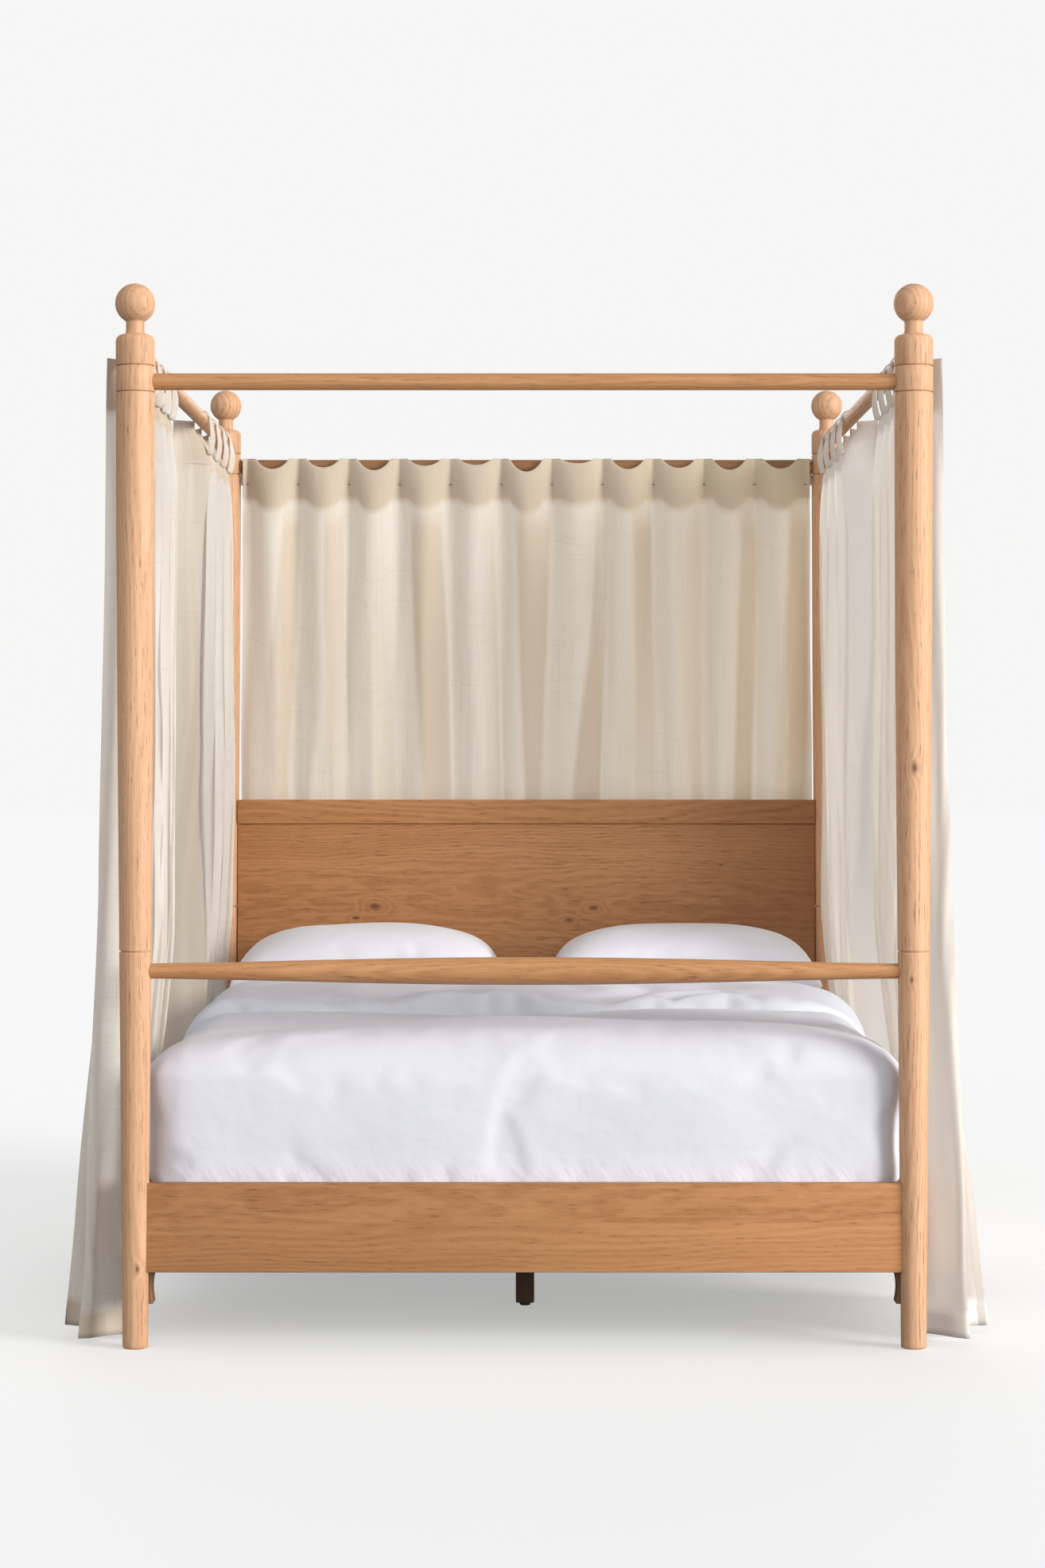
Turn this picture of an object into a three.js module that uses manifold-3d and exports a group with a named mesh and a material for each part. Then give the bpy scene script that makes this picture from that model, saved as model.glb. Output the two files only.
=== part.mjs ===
// A queen-size four poster canopy bed. Turned posts in two lengths carry corner collars and ball
// finials, round canopy rails, a swelling foot rail and plank boards. Inside are a slatted base on
// legs, a mattress and bedding, and linen curtains hang from the rails on sewn tabs.
// Millimetres, +Z up, +X to the right, the foot end towards -Y, the origin on the floor under the middle.
import * as THREE from "three";
import { mergeVertices } from "three/addons/utils/BufferGeometryUtils.js";
import Module from "manifold-3d";

// Clearance between pieces that touch.
const GAP = 0.3;

// Posts: where their axes stand, and the heights at which their turned pieces meet.
const POST_X = 804;
const POST_Y = 1065;
const LOWER_POST_TOP = 820;
const COLLAR_BOTTOM = 1974;
const CAP_BOTTOM = 2028;
const POST_FOOT_RADIUS = 26.3;
const POST_TOP_RADIUS = 40.25;
const POST_SWELL = 0.17;
const POST_CHAMFER = 1.5;
const POST_FOOT_CHAMFER = 3;
const POST_SIDES = 20;
const POST_RINGS = 5;

// Finial: a cap that is rounded over to a neck, with a ball on top.
const CAP_SHOULDER = 2078;
const SHOULDER_ROUND = 14;
const NECK_RADIUS = 19.75;
const NECK_BOTTOM = 2103;
const NECK_TOP = 2121;
const BALL_RADIUS = 41.5;
const BALL_CENTRE = 2156.5;
const BALL_RINGS = 7;

// Canopy rails: the end rails run through the collars, the side rails through the caps above them.
const RAIL_RADIUS = 17.5;
const RAIL_SIDES = 16;
const END_RAIL_Z = 1995;
const SIDE_RAIL_Z = 2056;
const TENON_DEPTH = 27;

// Foot rail: a long turned spindle that swells towards its middle.
const FOOT_RAIL_Z = 778;
const FOOT_RAIL_END_RADIUS = 15.5;
const FOOT_RAIL_SWELL = 13.25;
const FOOT_RAIL_FULLNESS = 1.5;
const FOOT_RAIL_RINGS = 10;

// Boards between the posts.
const BOARD_THICKNESS = 28;
const BOARD_BOTTOM = 157;
const BOARD_TOP = 341;
const HEADBOARD_Y = 1057;
const HEADBOARD_TOP = 1103;
const HEAD_RAIL_HEIGHT = 64;
const PANEL_THICKNESS = 18;

// Base: battens and corner brackets on the side rails, slats on webbing, and a beam on legs down the middle.
const SLAT_TOP = 270;
const SLAT_THICKNESS = 18;
const SLAT_WIDTH = 70;
const SLAT_COUNT = 12;
const SLAT_FIRST_Y = -970;
const SLAT_HALF_LENGTH = 786;
const STRAP_X = 480;
const STRAP_WIDTH = 25;
const STRAP_THICKNESS = 1.5;
const CLEAT_SIZE = 25;
const CLEAT_HALF_LENGTH = 1000;
const BEAM_WIDTH = 40;
const BEAM_HEIGHT = 60;
const LEG_Y = 505;
const LEG_SIZE = 41;
const GLIDE_HEIGHT = 7;
const GLIDE_RADIUS = 12;
const GLIDE_SIDES = 16;
const BRACKET_LENGTH = 65;
const BRACKET_REACH = 80;
// Distance of a bracket's scooped inner face from the bed's middle, from its foot up to the side rail.
const BRACKET_SCOOP = [[86, 770.5], [104, 773.5], [122, 774.5], [140, 771.5], [156.7, 768]];

// Bedding.
const MATTRESS_WIDTH = 1524;
const MATTRESS_LENGTH = 2032;
const MATTRESS_BOTTOM = 272;
const MATTRESS_HEIGHT = 300;
const MATTRESS_CORNER = 60;
const MATTRESS_EDGE = 18;
const DUVET_DROP_BOTTOM = 300;
const DUVET_TOP = 640;
const DUVET_SIDE_X = 782;
const DUVET_FOOT_Y = -1047;
const DUVET_HEAD_Y = 545;
const DUVET_CORNER = 75;
const DUVET_EDGE = 28;
const DUVET_LINING_GAP = 2.3;
const PILLOW_WIDTH = 700;
const PILLOW_DEPTH = 474;
const PILLOW_HEIGHT = 200;
const PILLOW_X = 405;
const PILLOW_Y = 800;
const PILLOW_SQUARENESS = 0.55;

// Curtains: each side panel hangs in upright pleats from tabs looped over its rail, clear of the floor.
const CLOTH = 4;
const PLEAT_WIDTH = 115;
const PLEAT_POINTS = 7;
const PLEAT_DEPTH = 45;
const FRONT_PLEATS_Y = [-955, -810, -665, -520];
const REAR_PLEATS_Y = [955, 765, 575, 385];
const TAB_WIDTH = 34;
const TAB_CLOTH = 2.5;
const TAB_LOOSENESS = 1.5;
const TAB_DROP = 70;
const TAB_ARC_POINTS = 5;

// From hem to top, how far out the inner and outer bends of a side panel's pleats lie.
const SIDE_LEVELS = [
  { z: 6, inner: 837, outer: 950 },
  { z: 345, inner: 832, outer: 928 },
  { z: 620, inner: 800, outer: 908 },
  { z: 812, inner: 786, outer: 897 },
  { z: 1250, inner: 780, outer: 876 },
  { z: 2030, inner: 780, outer: 872 },
];

// The back panel hangs on the bed side of its rail and falls behind the headboard: its middle at each level.
const BACK_LEVELS = [
  { z: 6, y: 1088 },
  { z: 1150, y: 1086 },
  { z: 1450, y: 1068 },
  { z: 1750, y: 1046 },
  { z: 1920, y: 1037.5 },
  { z: 2004, y: 1037.5 },
];
const BACK_HALF_WIDTH = 757;
const BACK_TABS = 12;
const BACK_FIRST_TAB = -745;
const BACK_TAB_PITCH = 135.5;
const BACK_TAB_WIDTH = 30;
const BACK_POINTS_PER_WAVE = 4;
const BACK_WAVE = 6;

const bed = new THREE.Group();

const wasm = await Module();
wasm.setup();

const FINISHES = {
  oak: { color: 0xd3a070, roughness: 0.55, metalness: 0 },
  base_wood: { color: 0x7a5234, roughness: 0.7, metalness: 0 },
  glide: { color: 0x2c2a28, roughness: 0.6, metalness: 0 },
  ticking: { color: 0xeeeeec, roughness: 0.9, metalness: 0 },
  cotton: { color: 0xe4e4ee, roughness: 0.9, metalness: 0 },
  linen: { color: 0xe9dfce, roughness: 0.95, metalness: 0 },
};

function addMesh(name, geometry, finish) {
  const mesh = new THREE.Mesh(geometry, new THREE.MeshStandardMaterial(FINISHES[finish]));
  mesh.name = name;
  bed.add(mesh);
  return mesh;
}

function toSolid(geometry) {
  const bare = geometry.index ? geometry.toNonIndexed() : geometry.clone();
  bare.deleteAttribute("normal");
  bare.deleteAttribute("uv");
  const merged = mergeVertices(bare, 1e-3);
  const triVerts = new Uint32Array(merged.index.array);
  const vertProperties = merged.attributes.position.array;
  return new wasm.Manifold(new wasm.Mesh({ numProp: 3, vertProperties, triVerts }));
}

function toGeometry(solid) {
  const mesh = solid.getMesh();
  const geometry = new THREE.BufferGeometry();
  geometry.setAttribute("position", new THREE.BufferAttribute(mesh.vertProperties, 3));
  geometry.setIndex(new THREE.BufferAttribute(mesh.triVerts, 1));
  const flat = geometry.toNonIndexed();
  flat.computeVertexNormals();
  return flat;
}

// A box between two corners.
function block(low, high) {
  const size = high.map((value, i) => value - low[i]);
  const middle = high.map((value, i) => (value + low[i]) / 2);
  return new THREE.BoxGeometry(...size).translate(...middle);
}

// A turned solid about +Z from [radius, height] points listed upwards.
function turned(profile, sides) {
  const points = profile.map(([radius, height]) => new THREE.Vector2(radius, height));
  return new THREE.LatheGeometry(points, sides).rotateX(Math.PI / 2);
}

function postRadius(z) {
  const t = z / COLLAR_BOTTOM;
  const growth = t + POST_SWELL * t * Math.sin(Math.PI * t);
  return POST_FOOT_RADIUS + (POST_TOP_RADIUS - POST_FOOT_RADIUS) * growth;
}

// One length of post between two heights, with its end edges taken off.
function postLength(bottom, top, bottomChamfer) {
  const profile = [
    [0, bottom],
    [postRadius(bottom) - bottomChamfer, bottom],
  ];
  for (let i = 0; i <= POST_RINGS; i++) {
    const from = bottom + bottomChamfer;
    const z = from + ((top - POST_CHAMFER - from) * i) / POST_RINGS;
    profile.push([postRadius(z), z]);
  }
  profile.push([postRadius(top) - POST_CHAMFER, top], [0, top]);
  return turned(profile, POST_SIDES);
}

function collar() {
  const inset = POST_TOP_RADIUS - POST_CHAMFER;
  const bottom = COLLAR_BOTTOM + GAP;
  return turned(
    [
      [0, bottom],
      [inset, bottom],
      [POST_TOP_RADIUS, bottom + POST_CHAMFER],
      [POST_TOP_RADIUS, CAP_BOTTOM - POST_CHAMFER],
      [inset, CAP_BOTTOM],
      [0, CAP_BOTTOM],
    ],
    POST_SIDES,
  );
}

function finial() {
  const bottom = CAP_BOTTOM + GAP;
  const profile = [
    [0, bottom],
    [POST_TOP_RADIUS - POST_CHAMFER, bottom],
    [POST_TOP_RADIUS, bottom + POST_CHAMFER],
    [POST_TOP_RADIUS, CAP_SHOULDER],
  ];
  // The shoulder rounds over, then a hollow carries it in to the neck.
  for (let i = 1; i <= 3; i++) {
    const turn = (i / 4) * (Math.PI / 2);
    const radius = POST_TOP_RADIUS - SHOULDER_ROUND * (1 - Math.cos(turn));
    profile.push([radius, CAP_SHOULDER + SHOULDER_ROUND * Math.sin(turn)]);
  }
  profile.push([NECK_RADIUS + 1, NECK_BOTTOM - 4], [NECK_RADIUS, NECK_BOTTOM]);
  const start = Math.asin(NECK_RADIUS / BALL_RADIUS);
  profile.push([NECK_RADIUS, NECK_TOP - 1]);
  for (let i = 1; i < BALL_RINGS; i++) {
    const turn = start + ((Math.PI - start) * i) / BALL_RINGS;
    profile.push([BALL_RADIUS * Math.sin(turn), BALL_CENTRE - BALL_RADIUS * Math.cos(turn)]);
  }
  profile.push([0, BALL_CENTRE + BALL_RADIUS]);
  return turned(profile, POST_SIDES);
}

// The space that a post takes out of what meets it.
function postSocket(x, y) {
  const profile = [[0, -1]];
  for (let z = -1; z <= COLLAR_BOTTOM; z += COLLAR_BOTTOM / 12) {
    profile.push([postRadius(Math.max(z, 0)) + GAP, z]);
  }
  profile.push([POST_TOP_RADIUS + GAP, COLLAR_BOTTOM], [POST_TOP_RADIUS + GAP, NECK_TOP], [0, NECK_TOP]);
  return toSolid(turned(profile, POST_SIDES).translate(x, y, 0));
}

const sockets = {};
for (const [end, y] of [["front", -POST_Y], ["rear", POST_Y]]) {
  for (const [side, x] of [["left", -POST_X], ["right", POST_X]]) {
    sockets[`${end}_${side}`] = postSocket(x, y);
  }
}

// A piece that reaches into posts, shaped to butt against them.
function coped(geometry, corners) {
  let solid = toSolid(geometry);
  for (const corner of corners) solid = solid.subtract(sockets[corner]);
  return toGeometry(solid);
}

function addPosts() {
  for (const [end, y] of [["front", -POST_Y], ["rear", POST_Y]]) {
    for (const [side, x] of [["left", -POST_X], ["right", POST_X]]) {
      const corner = `${end}_${side}`;
      const pieces = [
        [`lower_post_${corner}`, postLength(0, LOWER_POST_TOP, POST_FOOT_CHAMFER)],
        [`upper_post_${corner}`, postLength(LOWER_POST_TOP + GAP, COLLAR_BOTTOM, POST_CHAMFER)],
        [`corner_collar_${corner}`, collar()],
        [`ball_finial_${corner}`, finial()],
      ];
      for (const [name, geometry] of pieces) addMesh(name, geometry, "oak").position.set(x, y, 0);
    }
  }
}

function addCanopyRails() {
  const acrossLength = 2 * (POST_X - POST_TOP_RADIUS + TENON_DEPTH);
  const alongLength = 2 * (POST_Y - POST_TOP_RADIUS + TENON_DEPTH);
  for (const [end, y] of [["front", -POST_Y], ["rear", POST_Y]]) {
    const rail = new THREE.CylinderGeometry(RAIL_RADIUS, RAIL_RADIUS, acrossLength, RAIL_SIDES);
    rail.rotateZ(Math.PI / 2).translate(0, y, END_RAIL_Z);
    addMesh(`canopy_rail_${end}`, coped(rail, [`${end}_left`, `${end}_right`]), "oak");
  }
  for (const [side, x] of [["left", -POST_X], ["right", POST_X]]) {
    const rail = new THREE.CylinderGeometry(RAIL_RADIUS, RAIL_RADIUS, alongLength, RAIL_SIDES);
    rail.translate(x, 0, SIDE_RAIL_Z);
    addMesh(`canopy_rail_${side}`, coped(rail, [`front_${side}`, `rear_${side}`]), "oak");
  }
}

function addFootRail() {
  const half = POST_X - postRadius(FOOT_RAIL_Z) / 2;
  const profile = [[0, -half]];
  for (let i = 0; i <= FOOT_RAIL_RINGS; i++) {
    const along = (2 * i) / FOOT_RAIL_RINGS - 1;
    const fullness = Math.max(Math.cos((Math.PI / 2) * along), 0) ** FOOT_RAIL_FULLNESS;
    profile.push([FOOT_RAIL_END_RADIUS + FOOT_RAIL_SWELL * fullness, along * half]);
  }
  profile.push([0, half]);
  const rail = turned(profile, RAIL_SIDES);
  rail.rotateY(Math.PI / 2).translate(0, -POST_Y, FOOT_RAIL_Z);
  addMesh("foot_rail", coped(rail, ["front_left", "front_right"]), "oak");
}

// A board across the bed, centred on y.
function crossBoard(y, thickness, bottom, top) {
  const reach = POST_X - POST_CHAMFER;
  return block([-reach, y - thickness / 2, bottom], [reach, y + thickness / 2, top]);
}

function addBoards() {
  const frontPosts = ["front_left", "front_right"];
  const rearPosts = ["rear_left", "rear_right"];
  const footboard = crossBoard(-POST_Y, BOARD_THICKNESS, BOARD_BOTTOM, BOARD_TOP);
  addMesh("footboard", coped(footboard, frontPosts), "oak");
  const panelTop = HEADBOARD_TOP - HEAD_RAIL_HEIGHT;
  const headPieces = [
    ["headboard_bottom_rail", BOARD_THICKNESS, BOARD_BOTTOM, BOARD_TOP],
    ["headboard_panel", PANEL_THICKNESS, BOARD_TOP + GAP, panelTop - GAP],
    ["headboard_top_rail", BOARD_THICKNESS, panelTop, HEADBOARD_TOP],
  ];
  for (const [name, thickness, bottom, top] of headPieces) {
    addMesh(name, coped(crossBoard(HEADBOARD_Y, thickness, bottom, top), rearPosts), "oak");
  }
  for (const [side, x] of [["left", -POST_X], ["right", POST_X]]) {
    const rail = block(
      [x - BOARD_THICKNESS / 2, -POST_Y + POST_CHAMFER, BOARD_BOTTOM],
      [x + BOARD_THICKNESS / 2, POST_Y - POST_CHAMFER, BOARD_TOP],
    );
    addMesh(`side_rail_${side}`, coped(rail, [`front_${side}`, `rear_${side}`]), "oak");
  }
}

function addBase() {
  const slatBottom = SLAT_TOP - SLAT_THICKNESS;
  const railInside = POST_X - BOARD_THICKNESS / 2 - GAP;
  for (const [side, direction] of [["left", -1], ["right", 1]]) {
    const cleat = block(
      [-CLEAT_SIZE / 2, -CLEAT_HALF_LENGTH, slatBottom - GAP - CLEAT_SIZE],
      [CLEAT_SIZE / 2, CLEAT_HALF_LENGTH, slatBottom - GAP],
    );
    const mesh = addMesh(`slat_cleat_${side}`, cleat, "base_wood");
    mesh.position.x = direction * (railInside - CLEAT_SIZE / 2);
  }

  const pitch = (-2 * SLAT_FIRST_Y) / (SLAT_COUNT - 1);
  let mat = null;
  for (let i = 0; i < SLAT_COUNT; i++) {
    const y = SLAT_FIRST_Y + i * pitch;
    const slat = toSolid(block(
      [-SLAT_HALF_LENGTH, y - SLAT_WIDTH / 2, slatBottom],
      [SLAT_HALF_LENGTH, y + SLAT_WIDTH / 2, SLAT_TOP],
    ));
    mat = mat ? mat.add(slat) : slat;
  }
  for (const x of [-STRAP_X, STRAP_X]) {
    mat = mat.add(toSolid(block(
      [x - STRAP_WIDTH / 2, SLAT_FIRST_Y - SLAT_WIDTH / 4, SLAT_TOP - STRAP_THICKNESS],
      [x + STRAP_WIDTH / 2, -SLAT_FIRST_Y + SLAT_WIDTH / 4, SLAT_TOP + STRAP_THICKNESS],
    )));
  }
  addMesh("slat_mat", toGeometry(mat), "base_wood");

  const beamBottom = slatBottom - GAP - BEAM_HEIGHT;
  const beam = block(
    [-BEAM_WIDTH / 2, -POST_Y + BOARD_THICKNESS / 2 + GAP, beamBottom],
    [BEAM_WIDTH / 2, HEADBOARD_Y - BOARD_THICKNESS / 2 - GAP, slatBottom - GAP],
  );
  addMesh("center_beam", beam, "base_wood");

  for (const [name, y] of [["center_leg_front", -LEG_Y], ["center_leg_rear", LEG_Y]]) {
    const leg = block(
      [-LEG_SIZE / 2, -LEG_SIZE / 2, GLIDE_HEIGHT + GAP],
      [LEG_SIZE / 2, LEG_SIZE / 2, beamBottom - GAP],
    );
    addMesh(name, leg, "base_wood").position.set(0, y, 0);
    const glide = new THREE.CylinderGeometry(GLIDE_RADIUS, GLIDE_RADIUS - 1, GLIDE_HEIGHT, GLIDE_SIDES);
    glide.rotateX(Math.PI / 2).translate(0, 0, GLIDE_HEIGHT / 2);
    addMesh(name.replace("leg", "leg_glide"), glide, "glide").position.set(0, y, 0);
  }
  addBrackets();
}

// A scooped block under each end of the side rails, fitted round the post.
function addBrackets() {
  const outerFace = POST_X + BOARD_THICKNESS / 2;
  const scoop = BRACKET_SCOOP.map(([z, x]) => new THREE.Vector2(x, z));
  const corners = [new THREE.Vector2(outerFace, scoop.at(-1).y), new THREE.Vector2(outerFace, scoop[0].y)];
  const outline = new THREE.Shape([...scoop, ...corners]);
  const bracket = new THREE.ExtrudeGeometry(outline, { depth: BRACKET_LENGTH, bevelEnabled: false });
  const right = toSolid(bracket.rotateX(Math.PI / 2));
  const sides = { left: right.mirror([1, 0, 0]), right };
  const inner = POST_Y - BRACKET_REACH;
  for (const [end, y] of [["front", -inner], ["rear", inner + BRACKET_LENGTH]]) {
    for (const [side, solid] of Object.entries(sides)) {
      const corner = `${end}_${side}`;
      const fitted = solid.translate([0, y, 0]).subtract(sockets[corner]);
      addMesh(`corner_bracket_${corner}`, toGeometry(fitted), "base_wood");
    }
  }
}

// A cushion-cornered slab: a rounded rectangle in plan, with its top and bottom edges rounded too.
function softSlab(halfX, lowY, highY, bottom, top, corner, edge) {
  const inset = edge;
  const x = halfX - inset;
  const [y0, y1] = [lowY + inset, highY - inset];
  const r = Math.max(corner - inset, 1);
  const shape = new THREE.Shape();
  shape.moveTo(-x + r, y0).lineTo(x - r, y0).absarc(x - r, y0 + r, r, -Math.PI / 2, 0);
  shape.lineTo(x, y1 - r).absarc(x - r, y1 - r, r, 0, Math.PI / 2);
  shape.lineTo(-x + r, y1).absarc(-x + r, y1 - r, r, Math.PI / 2, Math.PI);
  shape.lineTo(-x, y0 + r).absarc(-x + r, y0 + r, r, Math.PI, (3 * Math.PI) / 2);
  const slab = new THREE.ExtrudeGeometry(shape, {
    depth: top - bottom - 2 * edge,
    bevelThickness: edge,
    bevelSize: inset,
    bevelSegments: 3,
    curveSegments: 4,
  });
  return slab.translate(0, 0, bottom + edge);
}

function addMattress() {
  const [halfX, halfY] = [MATTRESS_WIDTH / 2, MATTRESS_LENGTH / 2];
  const top = MATTRESS_BOTTOM + MATTRESS_HEIGHT;
  const slab = softSlab(halfX, -halfY, halfY, MATTRESS_BOTTOM, top, MATTRESS_CORNER, MATTRESS_EDGE);
  addMesh("mattress", slab, "ticking");
}

// The duvet lies over the mattress and hangs down at its sides and foot.
function addDuvet() {
  const overhang = DUVET_EDGE * 2;
  const outside = softSlab(
    DUVET_SIDE_X, DUVET_FOOT_Y, DUVET_HEAD_Y + overhang,
    DUVET_DROP_BOTTOM - overhang, DUVET_TOP, DUVET_CORNER, DUVET_EDGE,
  );
  const lining = block(
    [-MATTRESS_WIDTH / 2 - DUVET_LINING_GAP, -MATTRESS_LENGTH / 2 - DUVET_LINING_GAP, 0],
    [MATTRESS_WIDTH / 2 + DUVET_LINING_GAP, POST_Y, MATTRESS_BOTTOM + MATTRESS_HEIGHT + DUVET_LINING_GAP],
  );
  const below = block([-POST_X, -POST_Y, 0], [POST_X, POST_Y, DUVET_DROP_BOTTOM]);
  const beyond = block([-POST_X, DUVET_HEAD_Y, 0], [POST_X, POST_Y, DUVET_TOP + overhang]);
  let duvet = toSolid(outside);
  for (const cut of [lining, below, beyond]) duvet = duvet.subtract(toSolid(cut));
  addMesh("duvet", toGeometry(duvet), "cotton");
}

function addPillows() {
  const squared = (value) => Math.sign(value) * Math.abs(value) ** PILLOW_SQUARENESS;
  for (const [side, x] of [["left", -PILLOW_X], ["right", PILLOW_X]]) {
    const pillow = new THREE.SphereGeometry(1, 20, 10).rotateX(Math.PI / 2);
    const position = pillow.attributes.position;
    for (let i = 0; i < position.count; i++) {
      position.setXYZ(
        i,
        (squared(position.getX(i)) * PILLOW_WIDTH) / 2,
        (squared(position.getY(i)) * PILLOW_DEPTH) / 2,
        (position.getZ(i) * PILLOW_HEIGHT) / 2,
      );
    }
    const rest = MATTRESS_BOTTOM + MATTRESS_HEIGHT + DUVET_LINING_GAP;
    addMesh(`pillow_${side}`, pillow, "cotton").position.set(x, PILLOW_Y, rest + PILLOW_HEIGHT / 2);
  }
}

// A tab's loop in the plane across its rail: an arch over the rail that closes at the sewn seam.
function tabLoop(width) {
  const inside = RAIL_RADIUS + TAB_LOOSENESS;
  const outside = inside + TAB_CLOTH;
  const shape = new THREE.Shape();
  shape.moveTo(outside, -TAB_DROP).lineTo(outside, 0);
  shape.absarc(0, 0, outside, 0, Math.PI).lineTo(-outside, -TAB_DROP);
  const opening = new THREE.Path();
  opening.moveTo(inside, -TAB_DROP + TAB_CLOTH).lineTo(inside, 0);
  opening.absarc(0, 0, inside, 0, Math.PI).lineTo(-inside, -TAB_DROP + TAB_CLOTH);
  shape.holes.push(opening);
  const loop = new THREE.ExtrudeGeometry(shape, {
    depth: width,
    bevelEnabled: false,
    curveSegments: TAB_ARC_POINTS,
  });
  return loop.rotateX(Math.PI / 2).translate(0, width / 2, 0);
}

// The plan outline of a sheet that follows bends[i] = [x, y], thickened to both sides.
function sheetOutline(bends) {
  const nearSide = [];
  const farSide = [];
  bends.forEach(([x, y], i) => {
    const [x0, y0] = bends[Math.max(i - 1, 0)];
    const [x1, y1] = bends[Math.min(i + 1, bends.length - 1)];
    const across = new THREE.Vector2(y0 - y1, x1 - x0).setLength(CLOTH / 2);
    nearSide.push(new THREE.Vector2(x + across.x, y + across.y));
    farSide.unshift(new THREE.Vector2(x - across.x, y - across.y));
  });
  return new THREE.Shape([...nearSide, ...farSide]);
}

// A sheet standing on the bends of its plan, with a ring of points at each level, moved there by place.
function hangingSheet(bends, levels, place) {
  const steps = levels.length - 1;
  const sheet = new THREE.ExtrudeGeometry(sheetOutline(bends), { depth: steps, steps, bevelEnabled: false });
  const position = sheet.attributes.position;
  for (let i = 0; i < position.count; i++) {
    const level = levels[Math.round(position.getZ(i))];
    const [x, y] = place(position.getX(i), position.getY(i), level);
    position.setXYZ(i, x, y, level.z);
  }
  return toSolid(sheet);
}

// One upright pleat of a side panel on the +X side, its bend towards the bed in the middle.
function sidePleat() {
  const bends = [];
  for (let i = 0; i < PLEAT_POINTS; i++) {
    const along = i / (PLEAT_POINTS - 1);
    bends.push([PLEAT_DEPTH * Math.cos(2 * Math.PI * along), (along - 0.5) * (PLEAT_WIDTH - CLOTH)]);
  }
  const pleat = hangingSheet(bends, SIDE_LEVELS, (x, y, { inner, outer }) => {
    const depth = (outer - inner - CLOTH) / 2;
    return [(inner + outer) / 2 + (x * depth) / PLEAT_DEPTH, y];
  });
  const loop = tabLoop(TAB_WIDTH).translate(POST_X, 0, SIDE_RAIL_Z);
  return toGeometry(pleat.add(toSolid(loop)));
}

function addSideCurtains() {
  for (const [side, turn] of [["left", Math.PI], ["right", 0]]) {
    for (const [end, places] of [["front", FRONT_PLEATS_Y], ["rear", REAR_PLEATS_Y]]) {
      places.forEach((y, i) => {
        const pleat = addMesh(`curtain_${end}_${side}_${i + 1}`, sidePleat(), "linen");
        pleat.rotation.z = turn;
        pleat.position.y = y;
      });
    }
  }
}

function addBackCurtain() {
  const bends = [[-BACK_HALF_WIDTH, BACK_WAVE]];
  for (let i = 0; i <= (BACK_TABS - 1) * BACK_POINTS_PER_WAVE; i++) {
    const waves = i / BACK_POINTS_PER_WAVE;
    bends.push([BACK_FIRST_TAB + waves * BACK_TAB_PITCH, BACK_WAVE * Math.cos(2 * Math.PI * waves)]);
  }
  bends.push([BACK_HALF_WIDTH, BACK_WAVE]);
  let curtain = hangingSheet(bends, BACK_LEVELS, (x, y, level) => [x, level.y + y]);
  for (let i = 0; i < BACK_TABS; i++) {
    const loop = tabLoop(BACK_TAB_WIDTH).rotateZ(Math.PI / 2);
    loop.translate(BACK_FIRST_TAB + i * BACK_TAB_PITCH, POST_Y, END_RAIL_Z);
    curtain = curtain.add(toSolid(loop));
  }
  addMesh("curtain_back", toGeometry(curtain), "linen");
}

addPosts();
addCanopyRails();
addFootRail();
addBoards();
addBase();
addMattress();
addDuvet();
addPillows();
addSideCurtains();
addBackCurtain();

export default bed;
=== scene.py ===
"""A queen-size four poster canopy bed with turned oak posts, plank boards, white bedding and linen curtains.

Laid out as an add-on and run as a script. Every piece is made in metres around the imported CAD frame:
+Z up, +X to the right, the foot end towards -Y.
"""

import math

import bmesh
import bpy
import numpy as np
from bpy.props import FloatProperty, FloatVectorProperty, IntProperty, PointerProperty
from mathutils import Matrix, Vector


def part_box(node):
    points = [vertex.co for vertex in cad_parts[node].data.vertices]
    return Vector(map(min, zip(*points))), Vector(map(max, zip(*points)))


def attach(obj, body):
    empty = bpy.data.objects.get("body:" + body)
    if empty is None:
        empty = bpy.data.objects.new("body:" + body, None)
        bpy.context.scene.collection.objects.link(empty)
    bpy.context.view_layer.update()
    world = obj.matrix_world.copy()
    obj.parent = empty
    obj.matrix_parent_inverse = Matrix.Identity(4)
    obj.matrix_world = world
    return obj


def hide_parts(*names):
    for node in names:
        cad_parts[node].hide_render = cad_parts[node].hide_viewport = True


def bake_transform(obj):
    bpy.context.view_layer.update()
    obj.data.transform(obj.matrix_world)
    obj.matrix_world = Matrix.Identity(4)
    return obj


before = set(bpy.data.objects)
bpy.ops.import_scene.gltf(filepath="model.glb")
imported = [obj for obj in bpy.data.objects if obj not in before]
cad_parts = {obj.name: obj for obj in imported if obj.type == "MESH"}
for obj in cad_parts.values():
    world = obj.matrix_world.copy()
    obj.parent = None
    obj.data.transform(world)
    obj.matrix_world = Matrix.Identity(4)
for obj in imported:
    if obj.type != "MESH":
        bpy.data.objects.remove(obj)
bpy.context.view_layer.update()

bl_info = {
    "name": "Four poster canopy bed",
    "version": (1, 0, 0),
    "blender": (4, 5, 0),
    "location": "3D View > Sidebar > Bed",
    "description": "Makes the turned frame, bedding and curtains of a four poster bed",
    "category": "Add Mesh",
}

ENDS = ("front", "rear")
SIDES = ("left", "right")
CORNERS = [f"{end}_{side}" for end in ENDS for side in SIDES]
OUT = {"left": -1.0, "right": 1.0}


def middle(node):
    low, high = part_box(node)
    return (low + high) / 2


def extent(node):
    low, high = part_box(node)
    return high - low


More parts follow.
